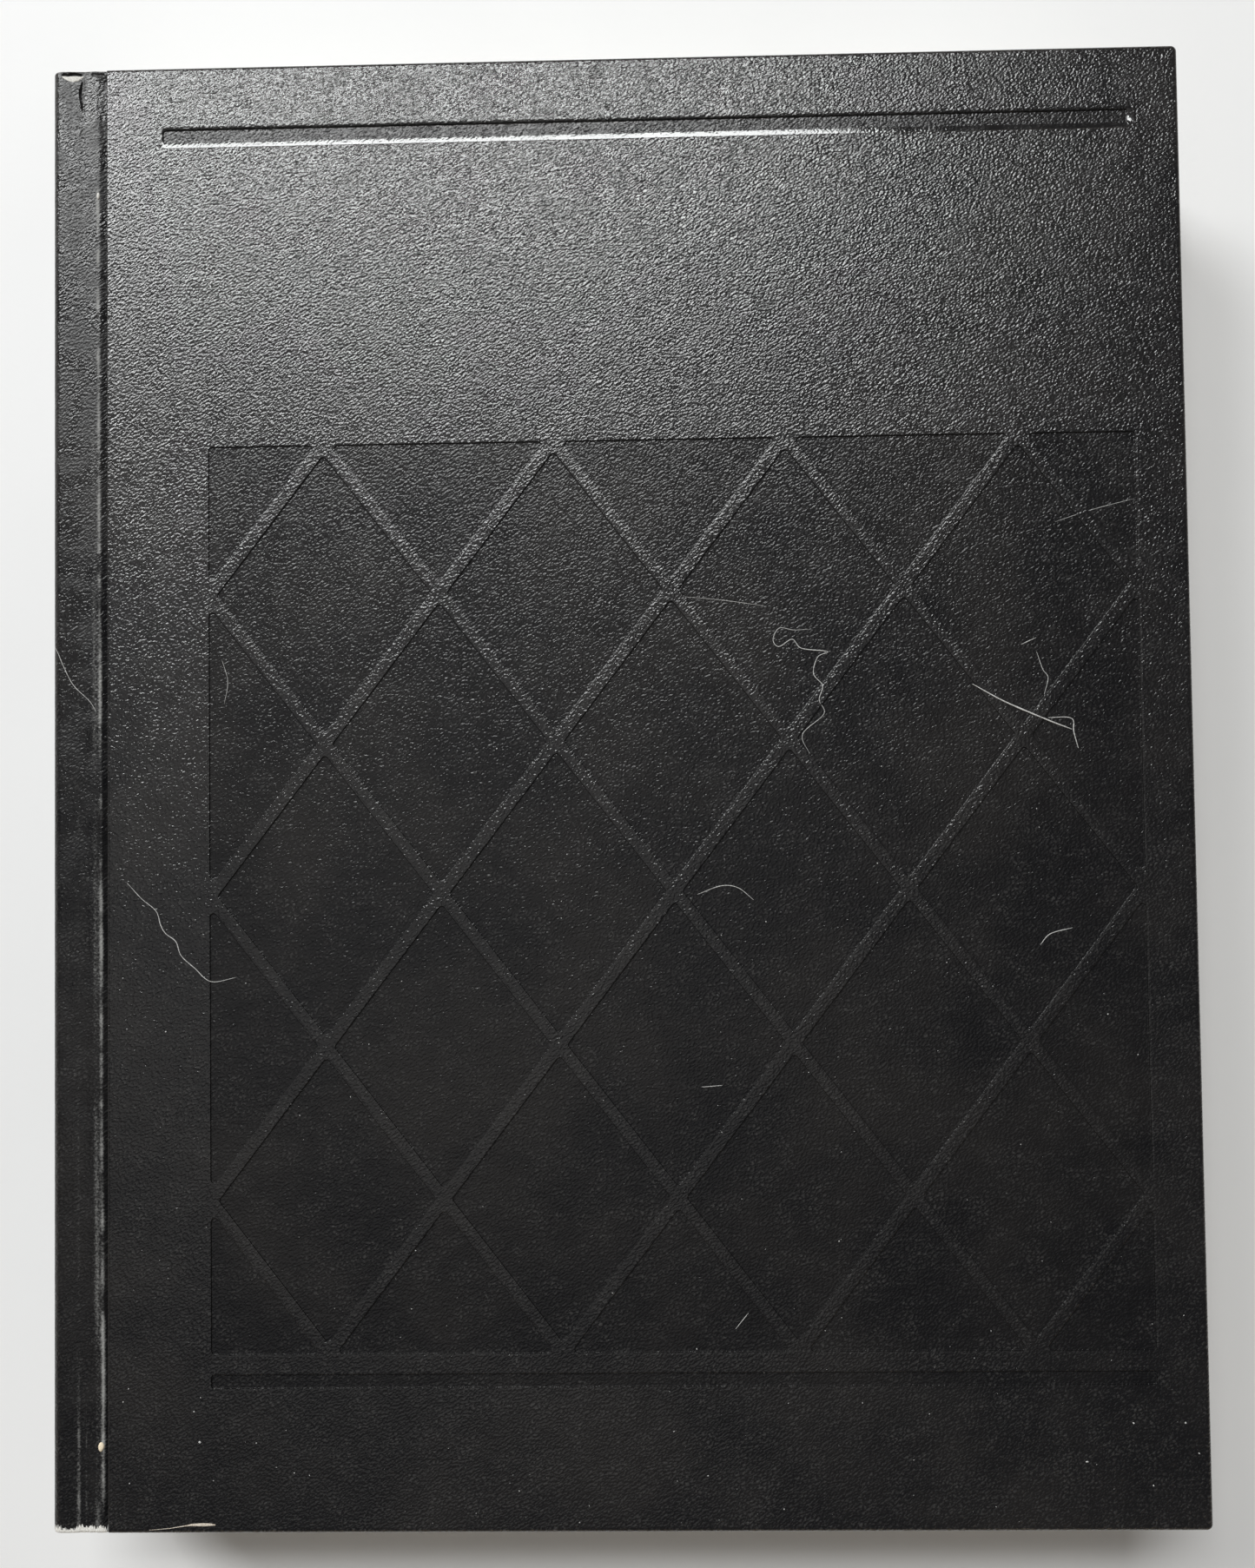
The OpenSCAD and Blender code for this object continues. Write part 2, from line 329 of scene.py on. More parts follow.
class NodeWeb:
    """A tree of shader nodes, with short ways to add those of the finishes and the room."""

    def __init__(self, tree: bpy.types.NodeTree) -> None:
        """Work on a tree."""
        self.tree = tree

    def put(self, socket: bpy.types.NodeSocket, value: object) -> None:
        """Link a socket into another one, or set a plain value on it."""
        if isinstance(value, bpy.types.NodeSocket):
            self.tree.links.new(value, socket)
        else:
            socket.default_value = value

    def mark(self, name: str, output: str = "Fac") -> bpy.types.NodeSocket:
        """Read one of the mesh's own marks."""
        node = self.tree.nodes.new("ShaderNodeAttribute")
        node.attribute_name = name
        return node.outputs[output]

    def scaled(self, vector: object, factors: Sequence[float]) -> bpy.types.NodeSocket:
        """Multiply a vector by three factors."""
        node = self.tree.nodes.new("ShaderNodeVectorMath")
        node.operation = "MULTIPLY"
        self.put(node.inputs[0], vector)
        node.inputs[1].default_value = tuple(factors)
        return node.outputs[0]

    def sheared(self, vector: object, share: float) -> bpy.types.NodeSocket:
        """Lean a flat pattern by a share of the height, so that it covers upright faces too."""
        parts = self.tree.nodes.new("ShaderNodeSeparateXYZ")
        self.put(parts.inputs[0], vector)
        joined = self.tree.nodes.new("ShaderNodeCombineXYZ")
        for axis in ("X", "Y"):
            leaned = self.sum((parts.outputs[axis], 1.0), (parts.outputs["Z"], share))
            self.put(joined.inputs[axis], leaned)
        return joined.outputs[0]

    def turned(self, vector: object, degrees: float) -> bpy.types.NodeSocket:
        """Turn a vector about the upright axis."""
        node = self.tree.nodes.new("ShaderNodeVectorRotate")
        node.rotation_type = "Z_AXIS"
        self.put(node.inputs["Vector"], vector)
        node.inputs["Angle"].default_value = math.radians(degrees)
        return node.outputs[0]

    def shifted(self, vector: object, other: object) -> bpy.types.NodeSocket:
        """Add two vectors."""
        node = self.tree.nodes.new("ShaderNodeVectorMath")
        node.operation = "ADD"
        self.put(node.inputs[0], vector)
        self.put(node.inputs[1], other)
        return node.outputs[0]

    def noise(
        self, vector: object, scale: float, detail: float = 2.0, output: str = "Fac"
    ) -> bpy.types.NodeSocket:
        """Soft noise, with its scale in cells a millimetre."""
        node = self.tree.nodes.new("ShaderNodeTexNoise")
        self.put(node.inputs["Vector"], vector)
        node.inputs["Scale"].default_value = scale
        node.inputs["Detail"].default_value = detail
        return node.outputs[output]

    def cells(self, vector: object, scale: float, feature: str) -> bpy.types.NodeSocket:
        """A flat cell pattern's distances, with its scale in cells a millimetre."""
        node = self.tree.nodes.new("ShaderNodeTexVoronoi")
        node.voronoi_dimensions = "2D"
        node.feature = feature
        self.put(node.inputs["Vector"], vector)
        node.inputs["Scale"].default_value = scale
        return node.outputs["Distance"]

    def span(self, value: object, low: float, high: float) -> bpy.types.NodeSocket:
        """Map a value's range smoothly onto 0 to 1."""
        node = self.tree.nodes.new("ShaderNodeMapRange")
        node.interpolation_type = "SMOOTHSTEP"
        for socket, given in zip(node.inputs, (value, low, high)):
            self.put(socket, given)
        return node.outputs[0]

    def sum(self, *terms: tuple[object, float]) -> bpy.types.NodeSocket:
        """Add several values, each times its weight."""
        total: object = 0.0
        for value, weight in terms:
            node = self.tree.nodes.new("ShaderNodeMath")
            node.operation = "MULTIPLY_ADD"
            self.put(node.inputs[0], value)
            node.inputs[1].default_value = weight
            self.put(node.inputs[2], total)
            total = node.outputs[0]
        return total

    def product(self, first: object, second: object) -> bpy.types.NodeSocket:
        """Multiply two values."""
        node = self.tree.nodes.new("ShaderNodeMath")
        node.operation = "MULTIPLY"
        self.put(node.inputs[0], first)
        self.put(node.inputs[1], second)
        return node.outputs[0]

    def mixed(self, share: object, first: object, second: object) -> bpy.types.NodeSocket:
        """Mix two colours by a share."""
        node = self.tree.nodes.new("ShaderNodeMix")
        node.data_type = "RGBA"
        self.put(node.inputs[0], share)
        for socket, value in ((node.inputs[6], first), (node.inputs[7], second)):
            self.put(socket, (*value, 1.0) if isinstance(value, tuple) else value)
        return node.outputs[2]


class FinishWeb(NodeWeb):
    """A material's nodes, round one Principled shader."""

    def __init__(self, name: str) -> None:
        """Start a material with a bare shader."""
        self.material = bpy.data.materials.new(name)
        self.material.use_nodes = True
        super().__init__(self.material.node_tree)
        self.tree.nodes.clear()
        self.shader = self.tree.nodes.new("ShaderNodeBsdfPrincipled")
        output = self.tree.nodes.new("ShaderNodeOutputMaterial")
        self.tree.links.new(self.shader.outputs["BSDF"], output.inputs["Surface"])

    def object_mm(self, stretch: Sequence[float] = (1.0, 1.0, 1.0)) -> bpy.types.NodeSocket:
        """Places on the object in millimetres, stretched along the three axes."""
        texture = self.tree.nodes.new("ShaderNodeTexCoord")
        return self.scaled(texture.outputs["Object"], [share / MM for share in stretch])

    def paint(self, share: object, first: object, second: object) -> None:
        """Colour the surface with two colours, mixed by a share."""
        self.put(self.shader.inputs["Base Color"], self.mixed(share, first, second))

    def bump(self, height: object, depth_mm: float) -> None:
        """Raise the surface by a height times a depth."""
        node = self.tree.nodes.new("ShaderNodeBump")
        node.inputs["Distance"].default_value = depth_mm * MM
        self.put(node.inputs["Height"], height)
        self.put(self.shader.inputs["Normal"], node.outputs["Normal"])


Colour = tuple[float, float, float]


@dataclass(frozen=True)
class GrainedCovering:
    """Black leather-grained covering paper, with wear, scuffs and dust, and a painted highlight on
    the grain's crowns.
    """

    name: str = "grained_covering"
    black: Colour = (0.0072, 0.0071, 0.0078)
    grey: Colour = (0.0132, 0.0123, 0.0122)
    # Tone of the dusty grain crowns. It is also a painted highlight that lightens the grain's
    # raised tops.
    rubbed: Colour = (0.040, 0.039, 0.038)
    worn: Colour = (0.28, 0.28, 0.268)
    cell_mm: float = 0.86
    grain_mm: float = 0.122
    lean_deg: float = -32.0
    roughness: float = 0.19
    specular: float = 0.62
    press_smooth: float = 1.7
    patch_rough: float = 0.06
    broad_rough: float = 0.06
    rub_rough: float = 0.26
    stamp_shine: float = 0.20
    wear_smooth: float = 0.35
    sway_per_mm: float = 1.1
    sway_mm: float = 0.55
    upright_lean: float = 0.7
    pebble_edge: float = 0.40
    pebble_share: float = 0.12
    mottle_share: float = 0.5
    wrinkle_stretch: tuple[float, float, float] = (0.8, 1.25, 1.0)
    wrinkle_per_mm: float = 2.0
    wrinkle_detail: float = 0.7
    streak_per_mm: tuple[float, float, float] = (0.25, 1.6, 1.0)
    broad_per_mm: float = 0.045
    mottle_per_mm: float = 0.24
    patch_per_mm: float = 0.17
    rag_per_mm: float = 2.6
    tint: Colour = (1.0, 0.998, 0.978)

    def make(self) -> bpy.types.Material:
        """Build the material."""
        web = FinishWeb(self.name)
        place = web.mark("book_mm", "Vector")
        wear, stamp = web.mark("wear"), web.mark("stamp")
        sway = web.scaled(web.noise(place, self.sway_per_mm, 2.0, "Color"), (self.sway_mm,) * 3)
        bent = web.sheared(web.shifted(place, sway), self.upright_lean)
        edges = web.cells(bent, 1.0 / self.cell_mm, "DISTANCE_TO_EDGE")
        pebbles = web.span(edges, 0.0, self.pebble_edge)
        leaning = web.scaled(web.turned(bent, self.lean_deg), self.wrinkle_stretch)
        wrinkles = web.noise(leaning, self.wrinkle_per_mm, self.wrinkle_detail)
        broad = web.noise(place, self.broad_per_mm, 3.0)
        mottle = web.noise(place, self.mottle_per_mm, 4.0)
        patch = web.span(web.noise(place, self.patch_per_mm, 3.0), 0.36, 0.64)
        relief = web.sum((pebbles, self.pebble_share), (wrinkles, 1.0), (mottle, self.mottle_share))
        smoothing = web.sum((stamp, -self.press_smooth), (wear, -self.wear_smooth), (1.0, 1.0))
        web.bump(web.product(relief, smoothing), self.grain_mm)

        ragged = web.sum((wear, 1.0), (web.noise(place, self.rag_per_mm, 4.0), 0.9), (0.45, -1.0))
        rubbed = web.span(ragged, 0.22, 1.02)
        tone = web.mixed(web.span(broad, 0.35, 0.7), self.black, self.grey)
        streaks = web.noise(web.scaled(place, self.streak_per_mm), 1.0, 3.0)
        dusted = web.span(web.sum((streaks, 0.6), (mottle, 0.6)), 0.48, 0.80)
        # Painted highlight mixed with dust: the grain's raised crowns are painted lighter where the
        # dust streaks run.
        crown_highlight = web.span(web.sum((wrinkles, 1.0), (pebbles, 0.22)), 0.54, 0.88)
        tone = web.mixed(web.product(crown_highlight, dusted), tone, self.rubbed)
        web.paint(rubbed, tone, self.worn)
        rough = web.sum(
            (patch, self.patch_rough),
            (broad, self.broad_rough),
            (rubbed, self.rub_rough),
            (stamp, -self.stamp_shine),
            (self.roughness - self.broad_rough, 1.0),
        )
        web.put(web.shader.inputs["Roughness"], rough)
        web.shader.inputs["Specular IOR Level"].default_value = self.specular
        web.shader.inputs["Specular Tint"].default_value = (*self.tint, 1.0)
        return web.material


@dataclass(frozen=True)
class PageStock:
    """Off-white book paper, with fine lines along the leaves on its cut edges."""

    name: str = "page_stock"
    light: Colour = (0.80, 0.765, 0.69)
    dark: Colour = (0.62, 0.575, 0.49)
    roughness: float = 0.78
    leaf_per_mm: tuple[float, float, float] = (0.03, 0.03, 5.5)
    band_per_mm: tuple[float, float, float] = (0.008, 0.008, 0.7)
    stain_per_mm: float = 0.035
    leaf_mm: float = 0.05

    def make(self) -> bpy.types.Material:
        """Build the material."""
        web = FinishWeb(self.name)
        place = web.mark("book_mm", "Vector")
        leaves = web.noise(web.scaled(place, self.leaf_per_mm), 1.0, 4.0)
        bands = web.noise(web.scaled(place, self.band_per_mm), 1.0, 2.0)
        stain = web.noise(place, self.stain_per_mm, 4.0)
        shade = web.sum((leaves, 0.7), (bands, 0.5), (stain, 0.45))
        web.paint(web.span(shade, 0.62, 1.05), self.dark, self.light)
        web.put(web.shader.inputs["Roughness"], web.sum((stain, 0.1), (self.roughness - 0.05, 1.0)))
        web.bump(leaves, self.leaf_mm)
        return web.material


@dataclass(frozen=True)
class EndpaperStock:
    """Plain cream endpaper with a faint felt texture and a little toning."""

    name: str = "endpaper_stock"
    light: Colour = (0.80, 0.775, 0.71)
    toned: Colour = (0.765, 0.735, 0.655)
    roughness: float = 0.82
    felt_per_mm: float = 1.6
    cloud_per_mm: float = 0.02
    felt_mm: float = 0.03

    def make(self) -> bpy.types.Material:
        """Build the material."""
        web = FinishWeb(self.name)
        place = web.object_mm()
        felt = web.noise(place, self.felt_per_mm, 5.0)
        cloud = web.noise(place, self.cloud_per_mm, 4.0)
        web.paint(web.span(cloud, 0.5, 0.8), self.light, self.toned)
        web.put(web.shader.inputs["Roughness"], web.sum((felt, 0.1), (self.roughness - 0.05, 1.0)))
        web.bump(felt, self.felt_mm)
        return web.material


@dataclass(frozen=True)
class GreyBoard:
    """Grey bookbinder's board with flecks of fibre."""

    name: str = "grey_board"
    light: Colour = (0.33, 0.31, 0.28)
    dark: Colour = (0.20, 0.185, 0.165)
    roughness: float = 0.92
    stretch: tuple[float, float, float] = (1.0, 1.0, 2.4)
    fibre_per_mm: float = 1.3
    fibre_mm: float = 0.06

    def make(self) -> bpy.types.Material:
        """Build the material."""
        web = FinishWeb(self.name)
        fibre = web.noise(web.object_mm(self.stretch), self.fibre_per_mm, 6.0)
        web.paint(web.span(fibre, 0.35, 0.65), self.dark, self.light)
        web.shader.inputs["Roughness"].default_value = self.roughness
        web.bump(fibre, self.fibre_mm)
        return web.material


@dataclass(frozen=True)
class LiningMull:
    """Open-weave mull glued under brown paper on the folds."""

    name: str = "lining_mull"
    thread: Colour = (0.70, 0.64, 0.52)
    gap: Colour = (0.36, 0.29, 0.20)
    roughness: float = 0.9
    weave_per_mm: float = 0.42
    weave_wobble: float = 0.6
    thread_mm: float = 0.12

    def make(self) -> bpy.types.Material:
        """Build the material."""
        web = FinishWeb(self.name)
        place = web.object_mm()
        weave = []
        for direction in ("Y", "Z"):
            wave = web.tree.nodes.new("ShaderNodeTexWave")
            wave.bands_direction = direction
            web.put(wave.inputs["Vector"], place)
            wave.inputs["Scale"].default_value = self.weave_per_mm
            wave.inputs["Distortion"].default_value = self.weave_wobble
            weave.append(web.span(wave.outputs["Fac"], 0.45, 0.7))
        cloth = web.sum((weave[0], 0.5), (weave[1], 0.5))
        web.paint(cloth, self.gap, self.thread)
        web.shader.inputs["Roughness"].default_value = self.roughness
        web.bump(cloth, self.thread_mm)
        return web.material


@dataclass(frozen=True)
class BandThread:
    """Thread of the head and tail bands, dark and cream by turns."""

    name: str = "band_thread"
    dark: Colour = (0.014, 0.014, 0.016)
    cream: Colour = (0.66, 0.62, 0.53)
    roughness: float = 0.5
    fluff_per_mm: tuple[float, float, float] = (4.0, 4.0, 9.0)
    fluff_mm: float = 0.05

    def make(self) -> bpy.types.Material:
        """Build the material."""
        web = FinishWeb(self.name)
        place = web.mark("book_mm", "Vector")
        fluff = web.noise(web.scaled(place, self.fluff_per_mm), 1.0, 3.0)
        web.paint(web.mark("stamp"), self.dark, self.cream)
        web.put(web.shader.inputs["Roughness"], web.sum((fluff, 0.2), (self.roughness, 1.0)))
        web.bump(fluff, self.fluff_mm)
        return web.material


@dataclass(frozen=True)
class PaleFibre:
    """Pale lint, torn paper or a chip: one tone with a fibrous surface."""

    name: str
    light: Colour
    dark: Colour
    roughness: float = 0.8
    fibre_per_mm: float = 5.0
    fibre_mm: float = 0.05

    def make(self) -> bpy.types.Material:
        """Build the material."""
        web = FinishWeb(self.name)
        fibre = web.noise(web.mark("book_mm", "Vector"), self.fibre_per_mm, 4.0)
        web.paint(web.span(fibre, 0.35, 0.65), self.dark, self.light)
        web.shader.inputs["Roughness"].default_value = self.roughness
        web.bump(fibre, self.fibre_mm)
        return web.material


@dataclass(frozen=True)
class TablePaint:
    """White painted table top."""

    name: str = "table_paint"
    light: Colour = (0.82, 0.82, 0.81)
    dark: Colour = (0.805, 0.805, 0.795)
    roughness: float = 0.62
    cloud_per_mm: float = 0.02
    grain_per_mm: float = 0.8
    grain_mm: float = 0.02

    def make(self) -> bpy.types.Material:
        """Build the material."""
        web = FinishWeb(self.name)
        place = web.object_mm()
        cloud = web.noise(place, self.cloud_per_mm, 4.0)
        web.paint(web.span(cloud, 0.3, 0.7), self.dark, self.light)
        web.shader.inputs["Roughness"].default_value = self.roughness
        web.bump(web.noise(place, self.grain_per_mm, 3.0), self.grain_mm)
        return web.material


@dataclass(frozen=True)
class Finishes:
    """Every finish of the book, made once."""

    covering: bpy.types.Material
    spine: bpy.types.Material
    pressed: bpy.types.Material
    pages: bpy.types.Material
    endpaper: bpy.types.Material
    board: bpy.types.Material
    lining: bpy.types.Material
    band: bpy.types.Material
    lint: bpy.types.Material
    torn: bpy.types.Material
    chip: bpy.types.Material
    scraped: bpy.types.Material

    @classmethod
    def make_all(cls) -> "Finishes":
        """Build all the materials."""
        return cls(
            covering=GrainedCovering().make(),
            spine=GrainedCovering(
                "spine_covering_finish", roughness=0.18, specular=0.37, patch_rough=0.22
            ).make(),
            pressed=GrainedCovering(
                "pressed_covering", roughness=0.41, specular=0.35, press_smooth=0.05
            ).make(),
            pages=PageStock().make(),
            endpaper=EndpaperStock().make(),
            board=GreyBoard().make(),
            lining=LiningMull().make(),
            band=BandThread().make(),
            lint=PaleFibre("lint_fibre", (0.62, 0.62, 0.60), (0.36, 0.36, 0.35)).make(),
            torn=PaleFibre("torn_core", (0.80, 0.79, 0.75), (0.55, 0.53, 0.48)).make(),
            chip=PaleFibre("cream_chip", (0.86, 0.76, 0.58), (0.72, 0.60, 0.42)).make(),
            scraped=PaleFibre("scraped_core", (0.74, 0.69, 0.60), (0.40, 0.33, 0.25)).make(),
        )


@dataclass(frozen=True)
class StampedShape:
    """One convex shape pressed into the cover, as corners in order and a depth."""

    corners: tuple[tuple[float, float], ...]
    depth: float
    shoulder_w: float
    shoulder_drop: float
    shoulder_mark: float = 0.12
    soft_r: float = 0.7
    arc_points: int = 7

    def outline(self, out: float) -> np.ndarray:
        """The shape's outline, moved out from its wall, with rounded corners.

        Args:
            out: Distance outwards in millimetres, or inwards where it is negative.

        Returns:
            Places across and up, anticlockwise.
        """
        corners = np.array(self.corners)
        before, after = np.roll(corners, 1, 0), np.roll(corners, -1, 0)
        lead = (corners - before) / np.linalg.norm(corners - before, axis=1)[:, None]
        leave = (after - corners) / np.linalg.norm(after - corners, axis=1)[:, None]
        normal_in = np.c_[lead[:, 1], -lead[:, 0]]
        normal_out = np.c_[leave[:, 1], -leave[:, 0]]
        points = []
        for corner, n1, n2 in zip(corners, normal_in, normal_out):
            centre = corner - (n1 + n2) * self.soft_r / (1.0 + n1 @ n2)
            first = math.atan2(n1[1], n1[0])
            turn = math.atan2(n1[0] * n2[1] - n1[1] * n2[0], n1 @ n2)
            for k in range(self.arc_points):
                angle = first + turn * k / (self.arc_points - 1)
                toward = np.array([math.cos(angle), math.sin(angle)])
                points.append(centre + (self.soft_r + out) * toward)
        return np.array(points)

    def holds(self, places: np.ndarray, out: float) -> np.ndarray:
        """Whether each place lies inside the outline, moved out by a distance."""
        ring = self.outline(out)
        sides = np.roll(ring, -1, 0) - ring
        offset = places[:, None, :] - ring[None]
        outward = offset[..., 0] * sides[None, :, 1] - offset[..., 1] * sides[None, :, 0]
        return (outward < 1e-9).all(axis=1)


@dataclass(frozen=True)
class StampedFront:
    """The rules and the lozenge lattice stamped into the front cover."""

    rule_w: float = 3.3
    rule_depth: float = 0.36
    upper_shoulder: tuple[float, float, float] = (1.05, 0.17, 0.48)
    lower_shoulder: tuple[float, float, float] = (0.40, 0.03, 0.0)
    rule_inset: float = 0.7
    rule_corner_r: float = 0.45
    upper_rule_up: float = 270.8
    lower_rule_up: float = 27.5
    upper_rule_across: float = 22.4
    left: float = 31.2
    right: float = 211.9
    lattice_low: float = 34.0
    lattice_high: float = 210.0
    columns: int = 4
    rows: int = 3
    bar_w: float = 2.4
    lozenge_depth: float = 0.28
    lozenge_shoulder: tuple[float, float] = (0.30, 0.03)

    def shapes(self) -> list[StampedShape]:
        """All the stamped shapes, in millimetres across and up."""
        found = []
        upper = (self.upper_rule_across, self.upper_rule_up, self.upper_shoulder)
        for across, up, shoulder in (upper, (self.left, self.lower_rule_up, self.lower_shoulder)):
            top = up + self.rule_w - self.rule_inset
            corners = ((across, up), (self.right, up), (self.right, top), (across, top))
            rule = StampedShape(corners, self.rule_depth, *shoulder, soft_r=self.rule_corner_r)
            found.append(rule)
        half_w = (self.right - self.left) / self.columns / 2
        half_h = (self.lattice_high - self.lattice_low) / self.rows / 2
        shrink = 1.0 - self.bar_w / 2 * math.hypot(1 / half_w, 1 / half_h)
        a, b = half_w * shrink, half_h * shrink
        for i in range(2 * self.columns + 1):
            for j in range(2 * self.rows + 1):
                if (i + j) % 2:
                    continue
                x, y = self.left + i * half_w, self.lattice_low + j * half_h
                tips = [(a, 0.0), (0.0, b), (-a, 0.0), (0.0, -b)]
                for axis, k, last in ((0, i, 2 * self.columns), (1, j, 2 * self.rows)):
                    if k in (0, last):
                        inward = 1.0 if k == 0 else -1.0
                        tips = [tip for tip in tips if tip[axis] * inward >= 0.0]
                if len(tips) == 2:
                    tips.append((0.0, 0.0))
                mid = np.mean(tips, axis=0)
                ordered = sorted(tips, key=lambda tip: math.atan2(tip[1] - mid[1], tip[0] - mid[0]))
                corners = tuple((x + p, y + q) for p, q in ordered)
                found.append(StampedShape(corners, self.lozenge_depth, *self.lozenge_shoulder))
        return found


@dataclass
class CoverPanel:
    """The covering of one board: its face, its rounded edges and its turn-ins."""

    side: Side
    stamp: StampedFront | None
    edge_steps: int = 7
    run_steps: int = 36
    face_insets: tuple[float, ...] = (4.0, 2.2, 1.2)
    under_inset: float = 1.4
    end_slope: float = 0.1
    spine_round: float = -0.45
    spine_corner_r: float = 0.35
    face_step: float = 9.0
    face_clear: float = 1.6
    edge_rub: tuple[float, float] = (0.16, 0.14)
    corner_rub: float = 0.30
    corner_reach: float = 3.0
    wall_out: float = 0.03
    wall_in: float = -0.03
    wall_steps: int = 11
    wall_power: float = 1.4
    steep_power: float = 3.2
    tail_ease: float = 0.62

    def contour(self, inset: float, under: bool) -> np.ndarray:
        """The panel's outline from above, anticlockwise from the spine side's tail corner.

        Args:
            inset: How far inside the outer edge it runs, in millimetres.
            under: Whether it belongs to the inner side, which has no turn-in along the spine.

        Returns:
            Places across and up. Every inset gives the same number of them.
        """
        spine_inset = inset + self.spine_round * min(1.0, inset / BOOK.edge_r)
        if under:
            spine_inset = min(spine_inset, BOOK.edge_r + self.spine_round)
        low_x, high_x = BOOK.cover_across + spine_inset, BOOK.width - inset
        low_y, high_y = inset, BOOK.height - inset
        spine_r = max(self.spine_corner_r - inset, 0.02)
        fore_r = max(BOOK.corner_r - inset, 0.05)
        corners = (
            (low_x, low_y, spine_r, 180),
            (high_x, low_y, fore_r, 270),
            (high_x, high_y, fore_r, 0),
            (low_x, high_y, spine_r, 90),
        )
        arcs = []
        for x, y, r, start in corners:
            cx = x + r if x == low_x else x - r
            cy = y + r if y == low_y else y - r
            turn = np.radians(start + np.linspace(0.0, 90.0, 9))
            arcs.append(np.c_[cx + r * np.cos(turn), cy + r * np.sin(turn)])
        points = []
        for arc, following in zip(arcs, arcs[1:] + arcs[:1]):
            points.append(arc)
            share = np.linspace(0.0, 1.0, self.run_steps + 2)[1:-1, None]
            points.append(arc[-1] * (1 - share) + following[0] * share)
        return np.concatenate(points)

    def profile(self) -> list[tuple[float, float, bool]]:
        """Inset, height and inner side of each ring, from the face round to the turn-in's end."""
        top, low, r = BOOK.thick, BOOK.thick - BOOK.cover_t, BOOK.edge_r
        turn = np.radians(np.linspace(0.0, 90.0, self.edge_steps))
        rings = [(inset, top, False) for inset in self.face_insets]
        rings += [(r - r * math.sin(a), top - r + r * math.cos(a), False) for a in turn]
        rings += [(r - r * math.cos(a), low + r - r * math.sin(a), True) for a in turn]
        rings += [(inset, low, True) for inset in (self.under_inset, BOOK.turn_in)]
        return rings + [(BOOK.turn_in + self.end_slope, low + BOOK.wrap, True)]

    def edge_wear(self, ring: np.ndarray, inset: float) -> np.ndarray:
        """Rubbing along the outer edges, more of it at the two fore corners."""
        if inset > 1.0:
            return np.zeros(len(ring))
        along = np.arange(len(ring)) * 3.1
        corner = np.hypot(BOOK.width - ring[:, 0], np.minimum(ring[:, 1], BOOK.height - ring[:, 1]))
        rub = self.edge_rub[0] + self.edge_rub[1] * ripple(along, Seed.EDGE_RUB, 9.0)
        rub += self.corner_rub * np.exp(-((corner / self.corner_reach) ** 2))
        rub *= ring[:, 0] > BOOK.cover_across + 3.0
        return np.clip(rub, 0.0, 1.0) * (1.0 - inset)

    def stamped_walls(self, draft: MeshDraft, shape: StampedShape) -> list[int]:
        """Add one stamped shape's soft wall and its floor.

        Args:
            draft: The panel's draft.
            shape: What is stamped.

        Returns:
            The indices of its outermost ring, on the face.
        """
        away = shape.outline(1.0) - shape.outline(0.0)
        ease = 1.0 - self.tail_ease * np.clip(-away[:, 1], 0.0, 1.0)
        steep = np.clip(np.maximum(away[:, 1], -away[:, 0]), 0.0, 1.0)
        power = self.wall_power + self.steep_power * steep
        smooth = shape.shoulder_mark * np.clip(np.maximum(-away[:, 1], away[:, 0]), 0.0, 1.0)
        rings = [(shape.shoulder_w + 0.1, np.zeros(len(away)), 0.0 * smooth)]
        for share in np.linspace(0.0, 1.0, self.wall_steps):
            out = shape.shoulder_w + (self.wall_out - shape.shoulder_w) * float(share)
            rings.append((out, shape.shoulder_drop * ease * float(share) ** power, smooth))
        for inward, above in ((0.0, 0.02), (0.06, 0.0), (0.16, 0.0), (0.30, 0.0)):
            floor = np.full(len(away), shape.depth - above)
            rings.append((self.wall_in - inward, floor, np.ones(len(away))))
        places, marks = [], []
        for out, drop, mark in rings:
            ring = shape.outline(out)
            places.append(np.c_[ring, BOOK.thick - drop])
            marks.append(mark)
        count = len(places[0])
        start = draft.add(np.concatenate(places), 0.0, np.concatenate(marks))
        draft.grid(start, len(rings), count, loop_cols=True)
        draft.faces.append(tuple(start + (len(rings) - 1) * count + k for k in range(count)))
        return [start + k for k in range(count)]

    def face(self, draft: MeshDraft, border: list[int]) -> None:
        """Fill the face inside its border ring, round whatever is stamped into it.

        Args:
            draft: The panel's draft, with its border already added.
            border: Indices of the border ring's points.
        """
        shapes = self.stamp.shapes() if self.stamp else []
        holes = [self.stamped_walls(draft, shape) for shape in shapes]
        known = np.concatenate(draft.points)
        index = list(border)
        edges = [(k, (k + 1) % len(border)) for k in range(len(border))]
        for hole in holes:
            start = len(index)
            index += hole
            edges += [(start + k, start + (k + 1) % len(hole)) for k in range(len(hole))]
        low, high = known[border].min(0), known[border].max(0)
        xs = np.arange(low[0] + self.face_step / 2, high[0], self.face_step)
        ys = np.arange(low[1] + self.face_step / 2, high[1], self.face_step)
        spots = np.array([(x, y) for x in xs for y in ys])
        clear = np.ones(len(spots), bool)
        for shape in shapes:
            clear &= ~shape.holds(spots, self.face_clear)
        spots = spots[clear]
        first = draft.add(np.c_[spots, np.full(len(spots), BOOK.thick)])
        index += range(first, first + len(spots))
        known = np.concatenate(draft.points)
        flat = [Vector(known[k][:2]) for k in index]
        verts, _, faces, origin, _, _ = delaunay_2d_cdt(flat, edges, [], 0, 1e-6)
        source = [index[found[0]] for found in origin]
        middle = np.array([np.mean([verts[k] for k in face], axis=0) for face in faces])
        inside = ((middle > low[:2]) & (middle < high[:2])).all(axis=1)
        for shape in shapes:
            inside &= ~shape.holds(middle, shape.shoulder_w + 0.09)
        for face, use in zip(faces, inside):
            if use:
                draft.faces.append(tuple(source[k] for k in face))

